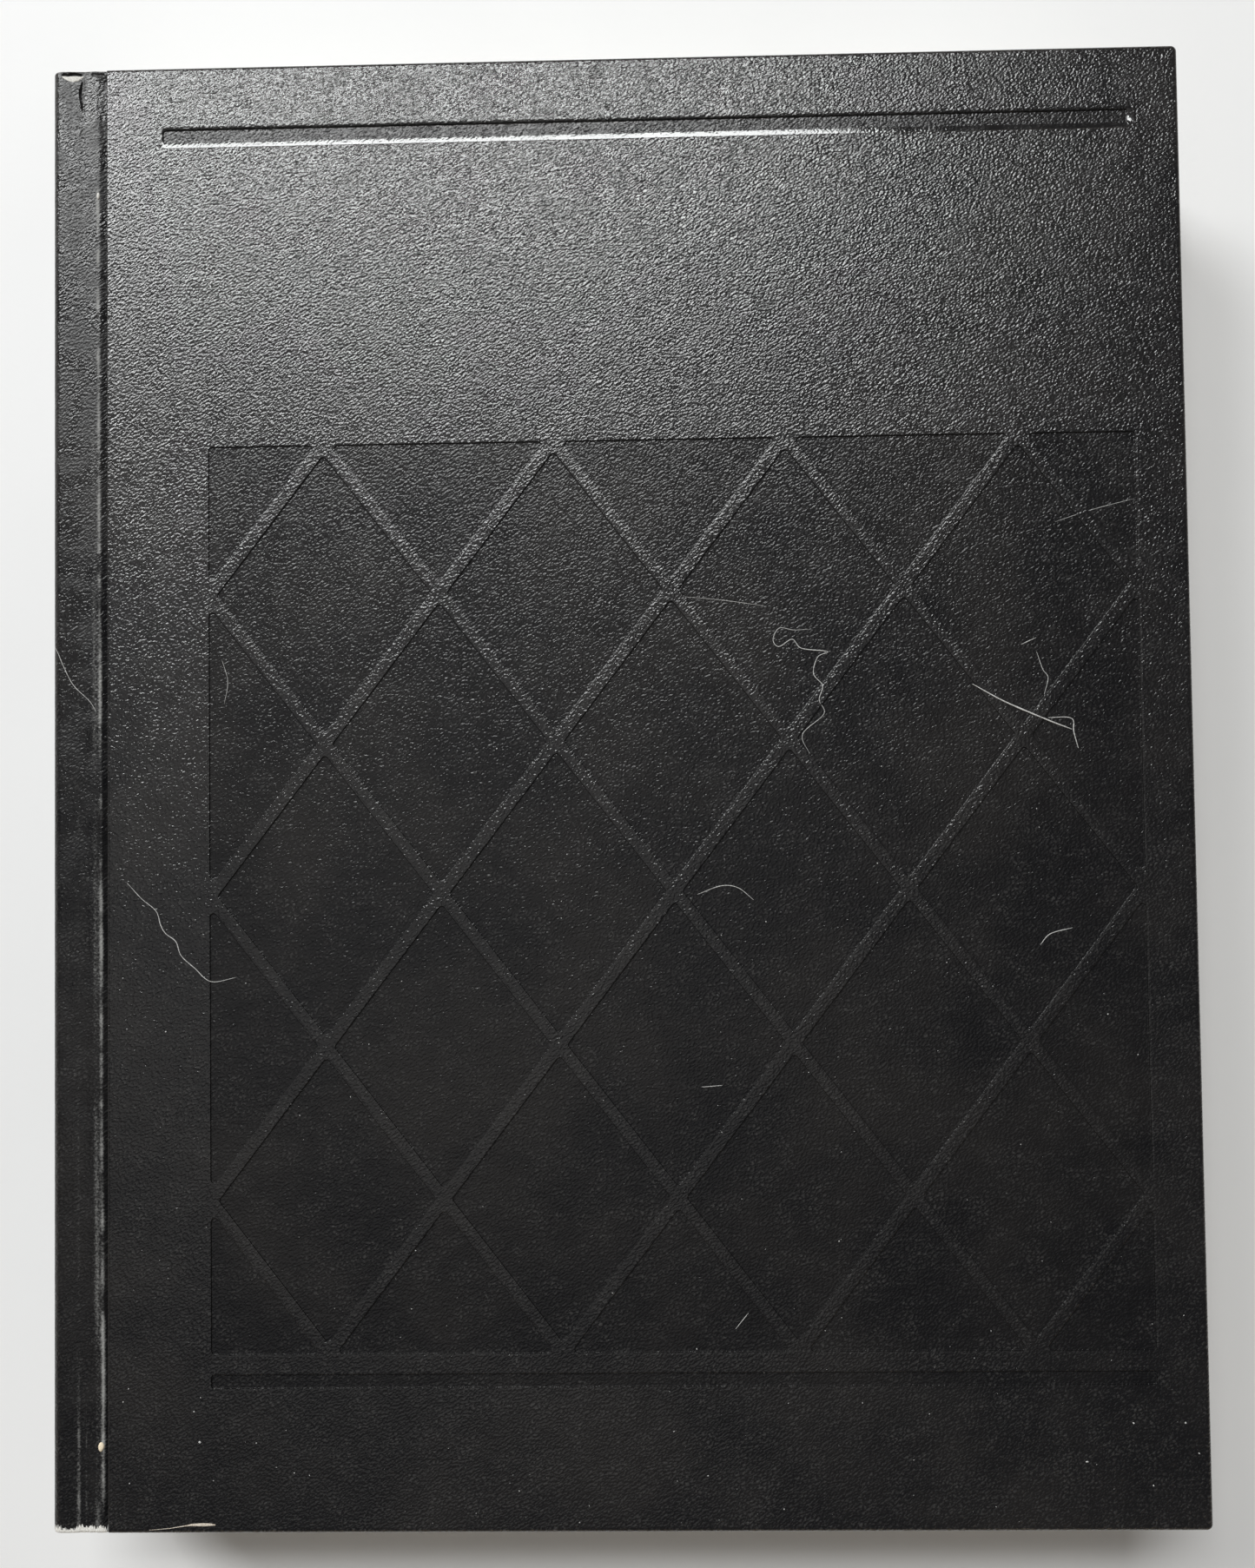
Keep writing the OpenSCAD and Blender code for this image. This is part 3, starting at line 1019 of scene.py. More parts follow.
    def build(self, finishes: Finishes) -> bpy.types.Object:
        """Build the panel and put it on its cover.

        Args:
            finishes: The book's finishes.

        Returns:
            The piece.
        """
        draft = MeshDraft(self.side)
        rings = self.profile()
        places, wear = [], []
        for inset, high, under in rings:
            ring = self.contour(inset, under)
            places.append(np.c_[ring, np.full(len(ring), high)])
            wear.append(self.edge_wear(ring, inset))
        count = len(places[0])
        start = draft.add(np.concatenate(places), np.concatenate(wear))
        draft.grid(start, len(rings), count, loop_cols=True)
        draft.faces = [face[::-1] for face in draft.faces]
        last = start + (len(rings) - 1) * count
        draft.faces.append(tuple(last + k for k in reversed(range(count))))
        walls = len(draft.faces)
        self.face(draft, [start + k for k in range(count)])
        known = np.concatenate(draft.points)
        found = draft.faces[walls:]
        draft.faces[walls:] = [face if self.upward(known, face) else face[::-1] for face in found]
        name = f"{self.side.value}_cover_panel"
        piece = draft.make(name, finishes.covering, 36.0, finishes.pressed)
        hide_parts(f"{self.side.value}_covering")
        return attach(piece, self.side.body.value)

    @staticmethod
    def upward(known: np.ndarray, face: tuple[int, ...]) -> bool:
        """Whether a face of the panel's top looks up, from the draft's known points."""
        ring = known[list(face)][:, :2]
        turned = np.roll(ring, -1, 0)
        return float((ring[:, 0] * turned[:, 1] - ring[:, 1] * turned[:, 0]).sum()) > 0.0


@dataclass(frozen=True)
class SoftBand:
    """A soft line along the spine: where it runs across, half its width, and how strong it is."""

    across: float
    half_w: float
    amount: float

    def at(self, across: np.ndarray, shift: float = 0.0) -> np.ndarray:
        """Its strength at places across, with the line moved by a shift."""
        return self.amount * np.exp(-(((across - self.across - shift) / self.half_w) ** 2))


@dataclass
class JointCovering:
    """The covering of half the spine and of one joint, the part that folds on the real book as its
    cover opens.
    """

    side: Side
    valley_across: float = 6.4
    valley_drop: float = 0.62
    crest_drop: float = 0.50
    crease_drop: float = 1.12
    groove_rise: float = 0.45
    crest_down: tuple[float, ...] = (0.0, 6.0, 14.0, 143.0, 286.0)
    crest_across: tuple[float, ...] = (8.0, 8.3, 9.1, 9.6, 10.15)
    worn_down: tuple[float, ...] = (5.0, 15.0, 118.0, 135.0, 195.0, 210.0, 272.0, 284.0)
    worn_share: tuple[float, ...] = (0.20, 0.50, 0.56, 0.36, 0.38, 0.54, 0.55, 0.25)
    patch_swings: tuple[tuple[float, int, float], ...] = (
        (0.18, 0, 17.0), (0.26, 1, 4.0), (0.22, 3, 1.4),
    )
    fold_r: float = 0.38
    end_r: float = 0.5
    blend_reach: float = 1.5
    lined_reach: float = 1.7
    hinge_crease: SoftBand = SoftBand(3.9, 0.35, 0.05)
    head_crease: SoftBand = SoftBand(6.05, 0.38, 0.07)
    head_gaps: tuple[tuple[float, float, float], ...] = ((1.9, 6.1, 0.42), (7.7, 10.6, 0.20))
    split_down: tuple[float, float, float] = (2.2, 4.4, 7.6)
    split_across: tuple[float, float, float] = (6.05, 5.65, 6.05)
    split_half: tuple[float, float] = (0.07, 0.13)
    split_depth: float = 0.40
    split_lip: float = 0.10
    head_edge_down: float = 0.78
    crest_rub: SoftBand = SoftBand(0.0, 0.44, 1.08)
    crest_side_rub: SoftBand = SoftBand(-1.15, 0.75, 1.0)
    shoulder_rub: SoftBand = SoftBand(4.2, 0.9, 0.16)
    ridge_rub: SoftBand = SoftBand(1.0, 0.9, 0.12)
    streaks: tuple[SoftBand, ...] = (SoftBand(5.3, 0.45, 1.0), SoftBand(6.7, 0.35, 0.7))

    def rows_up(self) -> np.ndarray:
        """Places of the rows along the spine, closer together at head and tail."""
        fine = np.concatenate([np.linspace(0.5, 3.0, 18), np.linspace(3.4, 14.0, 22)])
        middle = np.linspace(15.5, BOOK.height - 15.5, 170)
        return np.concatenate([fine, middle, (BOOK.height - fine)[::-1]])

    def crest_at(self, up: np.ndarray) -> np.ndarray:
        """Where the worn crest runs, across from the back of the spine."""
        drift = np.interp(BOOK.height - up, self.crest_down, self.crest_across)
        seed = Seed.CREST_FRONT if self.side is Side.FRONT else Seed.CREST_BACK
        return drift + 0.07 * ripple(up, seed, 14.0)

    def dent(self, across: np.ndarray, up: float) -> np.ndarray:
        """How far creases and the split at the head sink the strip.

        Args:
            across: Places across from the back of the spine.
            up: Height along the spine, from the tail.

        Returns:
            The drop at each place, negative where a lip stands up.
        """
        down = BOOK.height - up
        wander = 0.15 * float(ripple(np.array([up]), Seed.CREASE, 9.0)[0])
        sunk = self.hinge_crease.at(across, wander)
        if self.side is Side.BACK:
            return sunk
        for low, high, deep in self.head_gaps:
            span = eased((across - low) / 0.5) * eased((high - across) / 0.5)
            edge = self.head_edge_down + 0.10 * ripple(across, Seed.HEAD_EDGE, 0.8)
            sunk += deep * span * np.exp(-(((down - edge) / 0.24) ** 4))
        first, _, last = self.split_down
        if first < down < last:
            middle = float(np.interp(down, self.split_down, self.split_across))
            thin, swell = self.split_half
            half = thin + swell * math.sin(math.pi * (down - first) / (last - first))
            sunk += self.split_depth * np.exp(-(((across - middle) / half) ** 4))
            sunk -= self.split_lip * np.exp(-(((across - middle - half - 0.25) / 0.24) ** 2))
        follow = float(eased((down - 6.5) / 2.0) * eased((46.0 - down) / 30.0))
        return sunk + follow * self.head_crease.at(across, wander)

    @staticmethod
    def slope(share: np.ndarray, rounding: float = 0.3) -> np.ndarray:
        """A fall from 0 to 1 that starts level over a rounding and then runs straight."""
        start = share**2 / (2 * rounding)
        return np.where(share < rounding, start, share - rounding / 2) / (1.0 - rounding / 2)

    def section(self, up: float) -> np.ndarray:
        """The outer line of the covering across the spine and joint.

        Args:
            up: Height along the spine, from the tail.

        Returns:
            Places across and high, from the middle of the spine to under the board's edge.
        """
        top, ridge_top, r = BOOK.thick, BOOK.thick - BOOK.ridge_drop, BOOK.ridge_r
        rise = np.r_[np.linspace(top / 2, top - 6.0, 10), np.linspace(top - 5.0, ridge_top - r, 5)]
        line = [np.c_[np.zeros(len(rise)), rise]]
        turn = np.radians(np.linspace(0.0, 90.0, 11)[1:])
        line.append(np.c_[r - r * np.cos(turn), ridge_top - r + r * np.sin(turn)])
        level = np.linspace(r, BOOK.hinge_across, 9)[1:]
        line.append(np.c_[level, ridge_top - self.dent(level, up)])
        crest = float(self.crest_at(np.array([up]))[0])
        crease = BOOK.cover_across - 0.04
        near_end = min(up, BOOK.height - up)
        groove = self.crease_drop - self.groove_rise * (1.0 - float(eased((near_end - 0.4) / 2.2)))
        stops = [
            (BOOK.hinge_across, BOOK.ridge_drop),
            (self.valley_across, self.valley_drop),
            (crest, self.crest_drop),
            (crease, groove),
        ]
        for (x0, d0), (x1, d1), steps in zip(stops, stops[1:], (22, 18, 12)):
            share = np.linspace(0.0, 1.0, steps + 1)[1:]
            across = x0 + (x1 - x0) * share
            fall = self.slope(share) if x0 == crest else eased(share)
            line.append(np.c_[across, top - (d0 + (d1 - d0) * fall) - self.dent(across, up)])
        tucked = ((0.15, 0.02), (0.30, 0.25))
        line.append(np.array([(BOOK.cover_across + a, top - groove - d) for a, d in tucked]))
        return np.concatenate(line)

    def worn(self, section: np.ndarray, up: float) -> np.ndarray:
        """Wear of the covering along one row.

        Args:
            section: The row's outer line.
            up: Its height along the spine.

        Returns:
            Wear from 0 to 1 at each place of the line.
        """
        across, at = section[:, 0], np.array([up])
        crest = float(self.crest_at(at)[0])
        seed = Seed.WEAR_FRONT if self.side is Side.FRONT else Seed.WEAR_BACK
        patch = float(np.interp(BOOK.height - up, self.worn_down, self.worn_share))
        for share, shift, step in self.patch_swings:
            patch += share * float(ripple(at, seed + shift, step)[0])
        line = self.crest_rub.at(across, crest) * patch
        rubbed = 0.30 + 0.14 * float(ripple(at, seed + 4, 11.0)[0])
        rubbed += 0.10 * float(eased((90.0 - up) / 60.0))
        shoulder = self.shoulder_rub.at(across) + rubbed * self.crest_side_rub.at(across, crest)
        ridge = self.ridge_rub.at(across) * (section[:, 1] > BOOK.thick - 6.0)
        low = float(eased((34.0 - up) / 20.0)) * (0.7 + 0.3 * float(ripple(at, seed + 2, 3.0)[0]))
        low = 0.42 * low + 0.15 + 0.12 * float(ripple(at, seed + 5, 8.0)[0])
        streak = low * sum(band.at(across) for band in self.streaks)
        return np.clip(line + shoulder + ridge + streak, 0.0, 1.0)

    def heights(self, places: np.ndarray) -> np.ndarray:
        """Height of the strip's outer face.

        Args:
            places: Places across and up, in rows.

        Returns:
            The height at each of them, with the rounding at head and tail.
        """
        found = []
        for across, up in places:
            line = self.section(float(up))
            face = line[(line[:, 0] > 0.0) & (line[:, 0] < BOOK.cover_across)]
            near = max(0.0, self.end_r - min(up, BOOK.height - up)) / self.end_r
            sunk = 1.0 - math.sqrt(max(0.0, 1.0 - near * near))
            found.append(float(np.interp(across, face[:, 0], face[:, 1])) - sunk * self.fold_r)
        return np.array(found)

    def bend(self, piece: bpy.types.Object) -> bpy.types.Object:
        """Bake a piece's placement into its mesh."""
        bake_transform(piece)
        return piece

    def build(self, finishes: Finishes) -> bpy.types.Object:
        """Build the strip and bake its placement into its mesh.

        Args:
            finishes: The book's finishes.

        Returns:
            The piece.
        """
        draft = MeshDraft(self.side)
        rows = self.rows_up()
        cap = np.radians([80.0, 60.0, 40.0, 20.0])
        ends = [(self.end_r * (1.0 - math.sin(a)), 1.0 - math.cos(a)) for a in cap]
        course = ends + [(up, 0.0) for up in rows]
        course += [(BOOK.height - up, sunk) for up, sunk in reversed(ends)]
        places, wear, paper = [], [], []
        for up, sunk in course:
            line = self.section(up)
            ahead = headings(line)
            normal = np.c_[-ahead[:, 1], ahead[:, 0]]
            near_end = min(up, BOOK.height - up)
            thick = BOOK.wrap * (1.0 + float(eased((BOOK.turn_in - near_end) / 1.5 + 0.5)))
            outer = line - normal * sunk * self.fold_r
            inner = line - normal * (thick - sunk * self.fold_r)
            ring = np.concatenate([outer, inner[::-1]])
            places.append(np.c_[ring[:, 0], np.full(len(ring), up), ring[:, 1]])
            rub = self.worn(line, up)
            if near_end < 3.0:
                ragged = 0.75 + 0.35 * ripple(line[:, 0], Seed.END_RAGGED, 0.55)
                ragged += 0.2 * ripple(line[:, 0], Seed.END_FINE, 0.2)
                reach = np.where(up < 3.0, 1.55, 0.5) * ragged
                rub = np.maximum(rub, np.clip((reach - near_end) / 0.35, 0.0, 1.0))
            wear.append(np.concatenate([rub, np.zeros(len(rub))]))
            lined = np.abs(line[:, 0] - BOOK.hinge_across) < self.lined_reach
            lined &= near_end > BOOK.square
            paper.append(np.concatenate([np.zeros(len(rub)), lined[::-1]]))
        count = len(places[0])
        start = draft.add(np.concatenate(places), np.concatenate(wear), np.concatenate(paper))
        draft.grid(start, len(course), count, loop_cols=True)
        draft.fill(start, count, False)
        draft.fill(start + (len(course) - 1) * count, count, True)
        name = f"{self.side.value}_joint_covering"
        piece = draft.make(name, finishes.spine, 60.0, finishes.endpaper)
        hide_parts("spine_covering")
        return self.bend(piece)


@dataclass
class SpineTurnIn:
    """The covering turned in over one end of the spine board."""

    at_head: bool
    reach: float = 16.0
    profile: tuple[tuple[float, float], ...] = (
        (0.28, 0.42), (0.28, 0.30), (0.36, 0.12), (0.55, 0.02),
        (2.30, 0.02), (2.55, 0.06), (2.72, 0.18), (2.78, 0.36),
    )
    inner_across: float = 2.42

    def build(self, finishes: Finishes) -> bpy.types.Object:
        """Build the turned-in strip on the spine.

        Args:
            finishes: The book's finishes.

        Returns:
            The piece.
        """
        (first, lip), (last, _) = self.profile[0], self.profile[-1]
        inner = self.inner_across
        line = np.array([*self.profile, (last, self.reach), (inner, self.reach), (inner, lip)])
        ridge = BOOK.ridge_drop + BOOK.ridge_r
        bend = np.linspace(0.4, BOOK.ridge_r, 8)
        lows = ridge - bend[::-1]
        flat = np.linspace(ridge + 0.8, BOOK.thick - ridge - 0.8, 8)
        highs = np.concatenate([lows + 0.4, flat, BOOK.thick - (lows[::-1] + 0.4)])
        rings = []
        for high in highs:
            off = max(0.0, ridge - high, high - (BOOK.thick - ridge))
            shift = BOOK.ridge_r - math.sqrt(BOOK.ridge_r**2 - off**2)
            share = np.clip((last - line[:, 0]) / (last - first), 0.0, 1.0)
            up = BOOK.height - line[:, 1] if self.at_head else line[:, 1]
            rings.append(np.c_[line[:, 0] + shift * share, up, np.full(len(line), high)])
        draft = MeshDraft()
        draft.rod(np.stack(rings))
        if self.at_head:
            draft.faces = [face[::-1] for face in draft.faces]
        end = "head" if self.at_head else "tail"
        piece = draft.make(f"spine_{end}_turn_in", finishes.spine, 50.0)
        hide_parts("spine_covering")
        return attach(piece, Body.PAGES.value)


@dataclass
class Pastedown:
    """The pasted-down half of an endpaper. It shows the turn-ins under it and lines the joint."""

    side: Side
    step_w: float = 1.2
    joint_across: tuple[float, ...] = (
        3.90, 3.90, 3.93, 4.15, 4.6, 6.4, 8.2,
        9.5, 10.1, 10.5, 10.80, 10.92, 10.95, 11.08,
    )
    joint_high: tuple[float, ...] = (
        35.50, 35.15, 34.88, 34.74, 34.72, 34.53, 34.60,
        34.64, 34.42, 34.12, 33.7, 33.2, 32.7, 32.3,
    )
    fold_across: float = 3.45
    fold_high: float = 35.52

    def sites(self, low: float, high: float, steps: Sequence[float], spacing: float) -> np.ndarray:
        """Grid places along one direction, closer together where the sheet steps."""
        found = list(np.arange(low, high, spacing)) + [high]
        for step in steps:
            found += list(step + np.linspace(-self.step_w, self.step_w, 9))
        return np.unique(np.round([f for f in found if low <= f <= high], 4))

    def build(self, finishes: Finishes) -> bpy.types.Object:
        """Build the sheet on its cover.

        Args:
            finishes: The book's finishes.

        Returns:
            The piece.
        """
        high_x = BOOK.width - BOOK.bare_margin
        low_y, high_y = BOOK.bare_margin, BOOK.height - BOOK.bare_margin
        reach = BOOK.wrap + BOOK.turn_in
        fold_x = BOOK.cover_across + BOOK.wrap
        xs = self.sites(fold_x, high_x, (fold_x + 0.8, BOOK.width - reach), 8.0)
        ys = self.sites(low_y, high_y, (reach, BOOK.height - reach), 8.0)
        x, y = np.meshgrid(xs, ys)
        inner = (
            eased((x - fold_x) / self.step_w)
            * eased((BOOK.width - reach - x) / self.step_w + 0.5)
            * eased((y - reach) / self.step_w + 0.5)
            * eased((BOOK.height - reach - y) / self.step_w + 0.5)
        )
        top = BOOK.thick - BOOK.cover_t + BOOK.wrap * inner - 0.005
        line = np.concatenate([np.c_[self.joint_across, self.joint_high], [[fold_x, top[0, 0]]]])
        ahead = headings(line)
        under = line + BOOK.endpaper * np.c_[ahead[:, 1], -ahead[:, 0]]
        sheets = []
        for joint, drop in ((line[:-1], 0.0), (under[:-1], BOOK.endpaper)):
            parts = np.broadcast_arrays(joint[:, 0], ys[:, None], joint[:, 1])
            strip = np.stack(parts, axis=-1)
            sheets.append(np.concatenate([strip, np.stack([x, y, top - drop], axis=-1)], axis=1))
        draft = MeshDraft(self.side)
        draft.slab(*sheets)
        piece = draft.make(f"{self.side.value}_pastedown_sheet", finishes.endpaper, 50.0)
        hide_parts(f"{self.side.value}_pastedown")
        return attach(piece, self.side.body.value)

    def fold(self, finishes: Finishes) -> bpy.types.Object:
        """Build the endpaper's fold, which stands up from the flyleaf to the joint.

        Args:
            finishes: The book's finishes.

        Returns:
            The piece.
        """
        ys = np.linspace(BOOK.square, BOOK.square + BOOK.page_h, 12)
        low = BOOK.thick - BOOK.block_low + BOOK.endpaper
        rise = np.linspace(low - 0.05, self.fold_high, 5)
        y, z = np.meshgrid(ys, rise, indexing="ij")
        draft = MeshDraft(self.side)
        draft.slab(
            np.stack([np.full_like(y, self.fold_across), y, z], axis=-1),
            np.stack([np.full_like(y, self.fold_across + BOOK.endpaper), y, z], axis=-1),
        )
        piece = draft.make(f"{self.side.value}_endpaper_fold", finishes.endpaper, 50.0)
        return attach(piece, Body.PAGES.value)


@dataclass
class PageBlock:
    """The sewn sections: each sheet is folded once, nested in its section and trimmed."""

    sheets: int = 8
    gap: float = 0.014
    arc_steps: int = 7
    trim: float = 0.05
    seed: int = 5

    def sheet(
        self,
        draft: MeshDraft,
        middle: float,
        half_out: float,
        half_in: float,
        ends: tuple[float, float, float],
    ) -> None:
        """Add one folded sheet.

        Args:
            draft: The block's draft.
            middle: Height of its section's middle.
            half_out: Half the thickness over the folded sheet's outside.
            half_in: Half the opening inside the fold.
            ends: Place of its fore edge across, and of its tail and head edges up.
        """
        fore, tail, head = ends
        centre = BOOK.block_across + BOOK.pages_t / BOOK.sections / 2
        turn = np.radians(np.linspace(90.0, 270.0, self.arc_steps))
        loops = []
        for half in (half_out, half_in):
            arc = np.c_[centre + half * np.cos(turn), middle + half * np.sin(turn)]
            loops.append(np.concatenate([[[fore, middle + half]], arc, [[fore, middle - half]]]))
        ring = np.concatenate([loops[0], loops[1][::-1]])
        count = len(ring)
        rows = [np.c_[ring[:, 0], np.full(count, up), ring[:, 1]] for up in (tail, head)]
        start = draft.add(np.concatenate(rows))
        draft.grid(start, 2, count, loop_cols=True)
        draft.fill(start, count, True)
        draft.fill(start + count, count, False)

    def build(self, finishes: Finishes) -> bpy.types.Object:
        """Build the block of folded sheets.

        Args:
            finishes: The book's finishes.

        Returns:
            The piece.
        """
        draft = MeshDraft()
        draw = np.random.default_rng(self.seed)
        section_t = BOOK.pages_t / BOOK.sections
        leaf = section_t / 2 / self.sheets
        for i in range(BOOK.sections):
            middle = BOOK.block_low + (i + 0.5) * section_t
            swing = draw.uniform(-0.6, 0.6, 3) * self.trim
            for j in range(self.sheets):
                half_out = section_t / 2 - j * leaf - self.gap / 2
                half_in = max(half_out - leaf + self.gap, 0.004)
                jog = swing + draw.uniform(-0.4, 0.4, 3) * self.trim - self.trim
                ends = (
                    BOOK.block_across + BOOK.page_w + jog[0],
                    BOOK.square - jog[1],
                    BOOK.square + BOOK.page_h + jog[2],
                )
                self.sheet(draft, middle, half_out, half_in, ends)
        draft.faces = [face[::-1] for face in draft.faces]
        piece = draft.make("sewn_pages", finishes.pages, 35.0)
        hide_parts("page_block")
        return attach(piece, Body.PAGES.value)


@dataclass
class ThreadBand:
    """A head or tail band: thread wound over a core, with a tape behind it."""

    node: str
    at_head: bool
    core_r: float = 1.1
    thread_w: float = 0.68
    thread_rise: float = 0.16
    around: int = 26
    tape_h: float = 8.0

    def build(self, finishes: Finishes) -> bpy.types.Object:
        """Build the band on its end of the folds.

        Args:
            finishes: The book's finishes.

        Returns:
            The piece.
        """
        draft = MeshDraft()
        page_end = BOOK.square + BOOK.page_h
        turns = int(BOOK.pages_t / self.thread_w)
        along = np.linspace(0.0, turns, turns * 8 + 1)
        angle = np.linspace(0.0, 2 * math.pi, self.around, endpoint=False)
        lean = angle / (2 * math.pi)
        wave = np.abs(np.sin(math.pi * (along[:, None] + lean[None])))
        end = np.minimum(along, turns - along)[:, None]
        taper = np.sqrt(eased(end / 0.9) * 0.75 + 0.25)
        radius = (self.core_r - self.thread_rise + self.thread_rise * np.sqrt(wave)) * taper
        across = BOOK.lining_across + self.core_r + radius * np.cos(angle)[None]
        up = page_end + self.core_r + radius * np.sin(angle)[None]
        level = BOOK.block_low + along / turns * BOOK.pages_t
        high = np.broadcast_to(level[:, None], across.shape)
        colour = (np.floor(along[:, None] + lean[None]) % 2 < 0.5).astype(float)
        draft.rod(np.stack([across, up, high], axis=-1), colour)
        square = ((0, 0), (1, 0), (1, 1), (0, 1))
        box = np.array([(a, u, h) for h in (0, 1) for a, u in square], float)
        tape_t = BOOK.block_across - BOOK.lining_across
        size = np.array([tape_t, self.tape_h + self.core_r, BOOK.pages_t - 0.4])
        low = np.array([BOOK.lining_across, page_end - self.tape_h, BOOK.block_low + 0.2])
        tape = draft.add(low + box * size)
        walls = [(k, (k + 1) % 4, (k + 1) % 4 + 4, k + 4) for k in range(4)]
        for face in ((3, 2, 1, 0), (4, 5, 6, 7), *walls):
            draft.faces.append(tuple(tape + k for k in face))
        if not self.at_head:
            draft.points = [p * (1.0, -1.0, 1.0) + (0.0, BOOK.height, 0.0) for p in draft.points]
            draft.faces = [face[::-1] for face in draft.faces]
        piece = draft.make(f"{self.node}_thread", finishes.band, 70.0)
        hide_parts(self.node)
        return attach(piece, Body.PAGES.value)


@dataclass(frozen=True)
class Fibre:
    """One hair, fibre or scratch lying on the front cover.

    Its line is in millimetres from the spine and down from the head.
    """

    line: tuple[tuple[float, float], ...]
    radius: float


@dataclass
class SurfaceDirt:
    """Lint, dust and small damage on the front of the book."""

    stamp: StampedFront
    flecks: int = 320
    fleck_sides: int = 6
    grain_extra: float = 0.16
    seed: int = 17
    fibres: tuple[Fibre, ...] = (
        Fibre(
            (
                (15.0, 161.1), (17.8, 164.2), (20.7, 166.7), (21.6, 169.4), (22.6, 171.1),
                (24.6, 172.7), (25.6, 175.4), (28.3, 177.9), (31.4, 180.5), (36.0, 179.8),
            ),
            0.085,
        ),
        Fibre(
            (
                (148.0, 113.6), (145.3, 113.7), (142.5, 113.3), (141.3, 115.5), (142.4, 116.9),
                (145.0, 115.5), (146.8, 117.3), (151.8, 118.0), (149.9, 119.0), (149.0, 122.2),
                (150.7, 124.6), (150.0, 127.4), (150.9, 130.1), (146.7, 134.0), (148.1, 138.0),
            ),
            0.075,
        ),
        Fibre(((179.6, 124.7), (185.1, 127.9), (193.5, 131.7), (198.5, 133.7)), 0.15),
        Fibre(((194.0, 131.4), (198.5, 131.6), (198.9, 134.2), (199.7, 137.4)), 0.10),
        Fibre(((192.1, 118.6), (193.2, 122.0), (194.2, 123.7), (193.4, 126.9)), 0.07),
        Fibre(((189.1, 117.2), (192.0, 115.9)), 0.07),
        Fibre(((125.9, 164.7), (130.5, 163.1), (133.8, 163.5), (136.8, 165.9)), 0.07),
        Fibre(((191.6, 175.1), (193.6, 173.0), (197.8, 171.9)), 0.08),
        Fibre(((126.2, 201.7), (130.2, 201.4)), 0.06),
        Fibre(((132.1, 247.7), (134.6, 244.7)), 0.06),
        Fibre(((122.0, 106.7), (131.0, 107.6), (139.7, 108.9)), 0.05),
        Fibre(((196.2, 93.4), (204.0, 91.0), (211.3, 89.2)), 0.05),
        Fibre(((33.7, 117.9), (34.8, 122.2), (34.1, 126.5)), 0.05),
    )
    joint_hair: Fibre = Fibre(
        ((0.5, 114.9), (1.3, 116.1), (2.5, 118.9), (4.4, 122.5), (7.5, 125.6), (8.8, 127.8)), 0.07
    )
    grains: tuple[tuple[float, float], ...] = (
        (207.2, 265.7), (217.0, 265.7), (14.1, 260.9), (27.8, 262.8),
        (28.9, 268.6), (198.3, 272.9), (210.7, 277.4), (219.4, 271.4),
    )

    def surface(self, places: np.ndarray) -> np.ndarray:
        """Height of the front cover's face at each place across and up."""
        high = np.full(len(places), BOOK.thick)
        for shape in self.stamp.shapes():
            high[shape.holds(places, 0.0)] = BOOK.thick - shape.depth
        return high

    @staticmethod
    def smoothed(line: np.ndarray, per_span: int = 7) -> np.ndarray:
        """A smooth curve through a line's points."""
        padded = np.concatenate([2 * line[:1] - line[1:2], line, 2 * line[-1:] - line[-2:-1]])
        found = []
        for p0, p1, p2, p3 in zip(padded, padded[1:], padded[2:], padded[3:]):
            square, cube = 2 * p0 - 5 * p1 + 4 * p2 - p3, 3 * p1 - p0 - 3 * p2 + p3
            for t in np.linspace(0.0, 1.0, per_span, endpoint=False):
                found.append(0.5 * (2 * p1 + (p2 - p0) * t + square * t**2 + cube * t**3))
        found.append(line[-1])
        return np.array(found)

    def tube(self, draft: MeshDraft, path: np.ndarray, radius: np.ndarray, sides: int = 6) -> None:
        """Add a thin closed tube along a path.

        Args:
            draft: Where it goes.
            path: Places across, up and high.
            radius: Radius at each of them.
            sides: Points round the tube.
        """
        ahead = headings(path)
        across = np.cross(ahead, np.array([0.0, 0.0, 1.0]))
        across /= np.linalg.norm(across, axis=1)[:, None]
        upright = np.cross(across, ahead)
        angle = np.linspace(0.0, 2 * math.pi, sides, endpoint=False)
        rings = (
            path[:, None]
            + radius[:, None, None] * np.cos(angle)[None, :, None] * across[:, None]
            + radius[:, None, None] * np.sin(angle)[None, :, None] * upright[:, None]
        )
        draft.rod(rings)

    def lint(self, finishes: Finishes) -> bpy.types.Object:
        """Build the fibres that lie on the front cover."""
        draft = MeshDraft()
        for fibre in self.fibres:
            self.lay(draft, fibre, self.surface)
        piece = draft.make("cover_lint", finishes.lint, 70.0)
        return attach(piece, Body.FRONT.value)

    def hair(self, finishes: Finishes, joint: JointCovering) -> bpy.types.Object:
        """Build the hair that lies across the spine's edge and the joint."""
        draft = MeshDraft()
        self.lay(draft, self.joint_hair, joint.heights)
        return joint.bend(draft.make("joint_lint", finishes.lint, 70.0))

    def lay(
        self, draft: MeshDraft, fibre: Fibre, surface: Callable[[np.ndarray], np.ndarray]
    ) -> None:
        """Add one fibre on a surface.

        Args:
            draft: Where it goes.
            fibre: Its line and radius.
            surface: Gives the surface's height at places across and up.
        """
        line = np.array([(a, BOOK.height - d) for a, d in fibre.line])
        curve = self.smoothed(line)
        along = np.linspace(0.0, 1.0, len(curve))
        radius = fibre.radius * (0.35 + 0.65 * np.sqrt(np.clip(np.sin(math.pi * along), 0.0, 1.0)))
        radius *= 1.0 + 0.25 * ripple(along * 40.0, int(line[0, 0] * 10), 1.0)
        padded = np.pad(surface(curve), 2, mode="edge")
        high = np.convolve(padded, np.ones(5) / 5, mode="valid") + fibre.radius * 0.9
        self.tube(draft, np.c_[curve, high], radius)

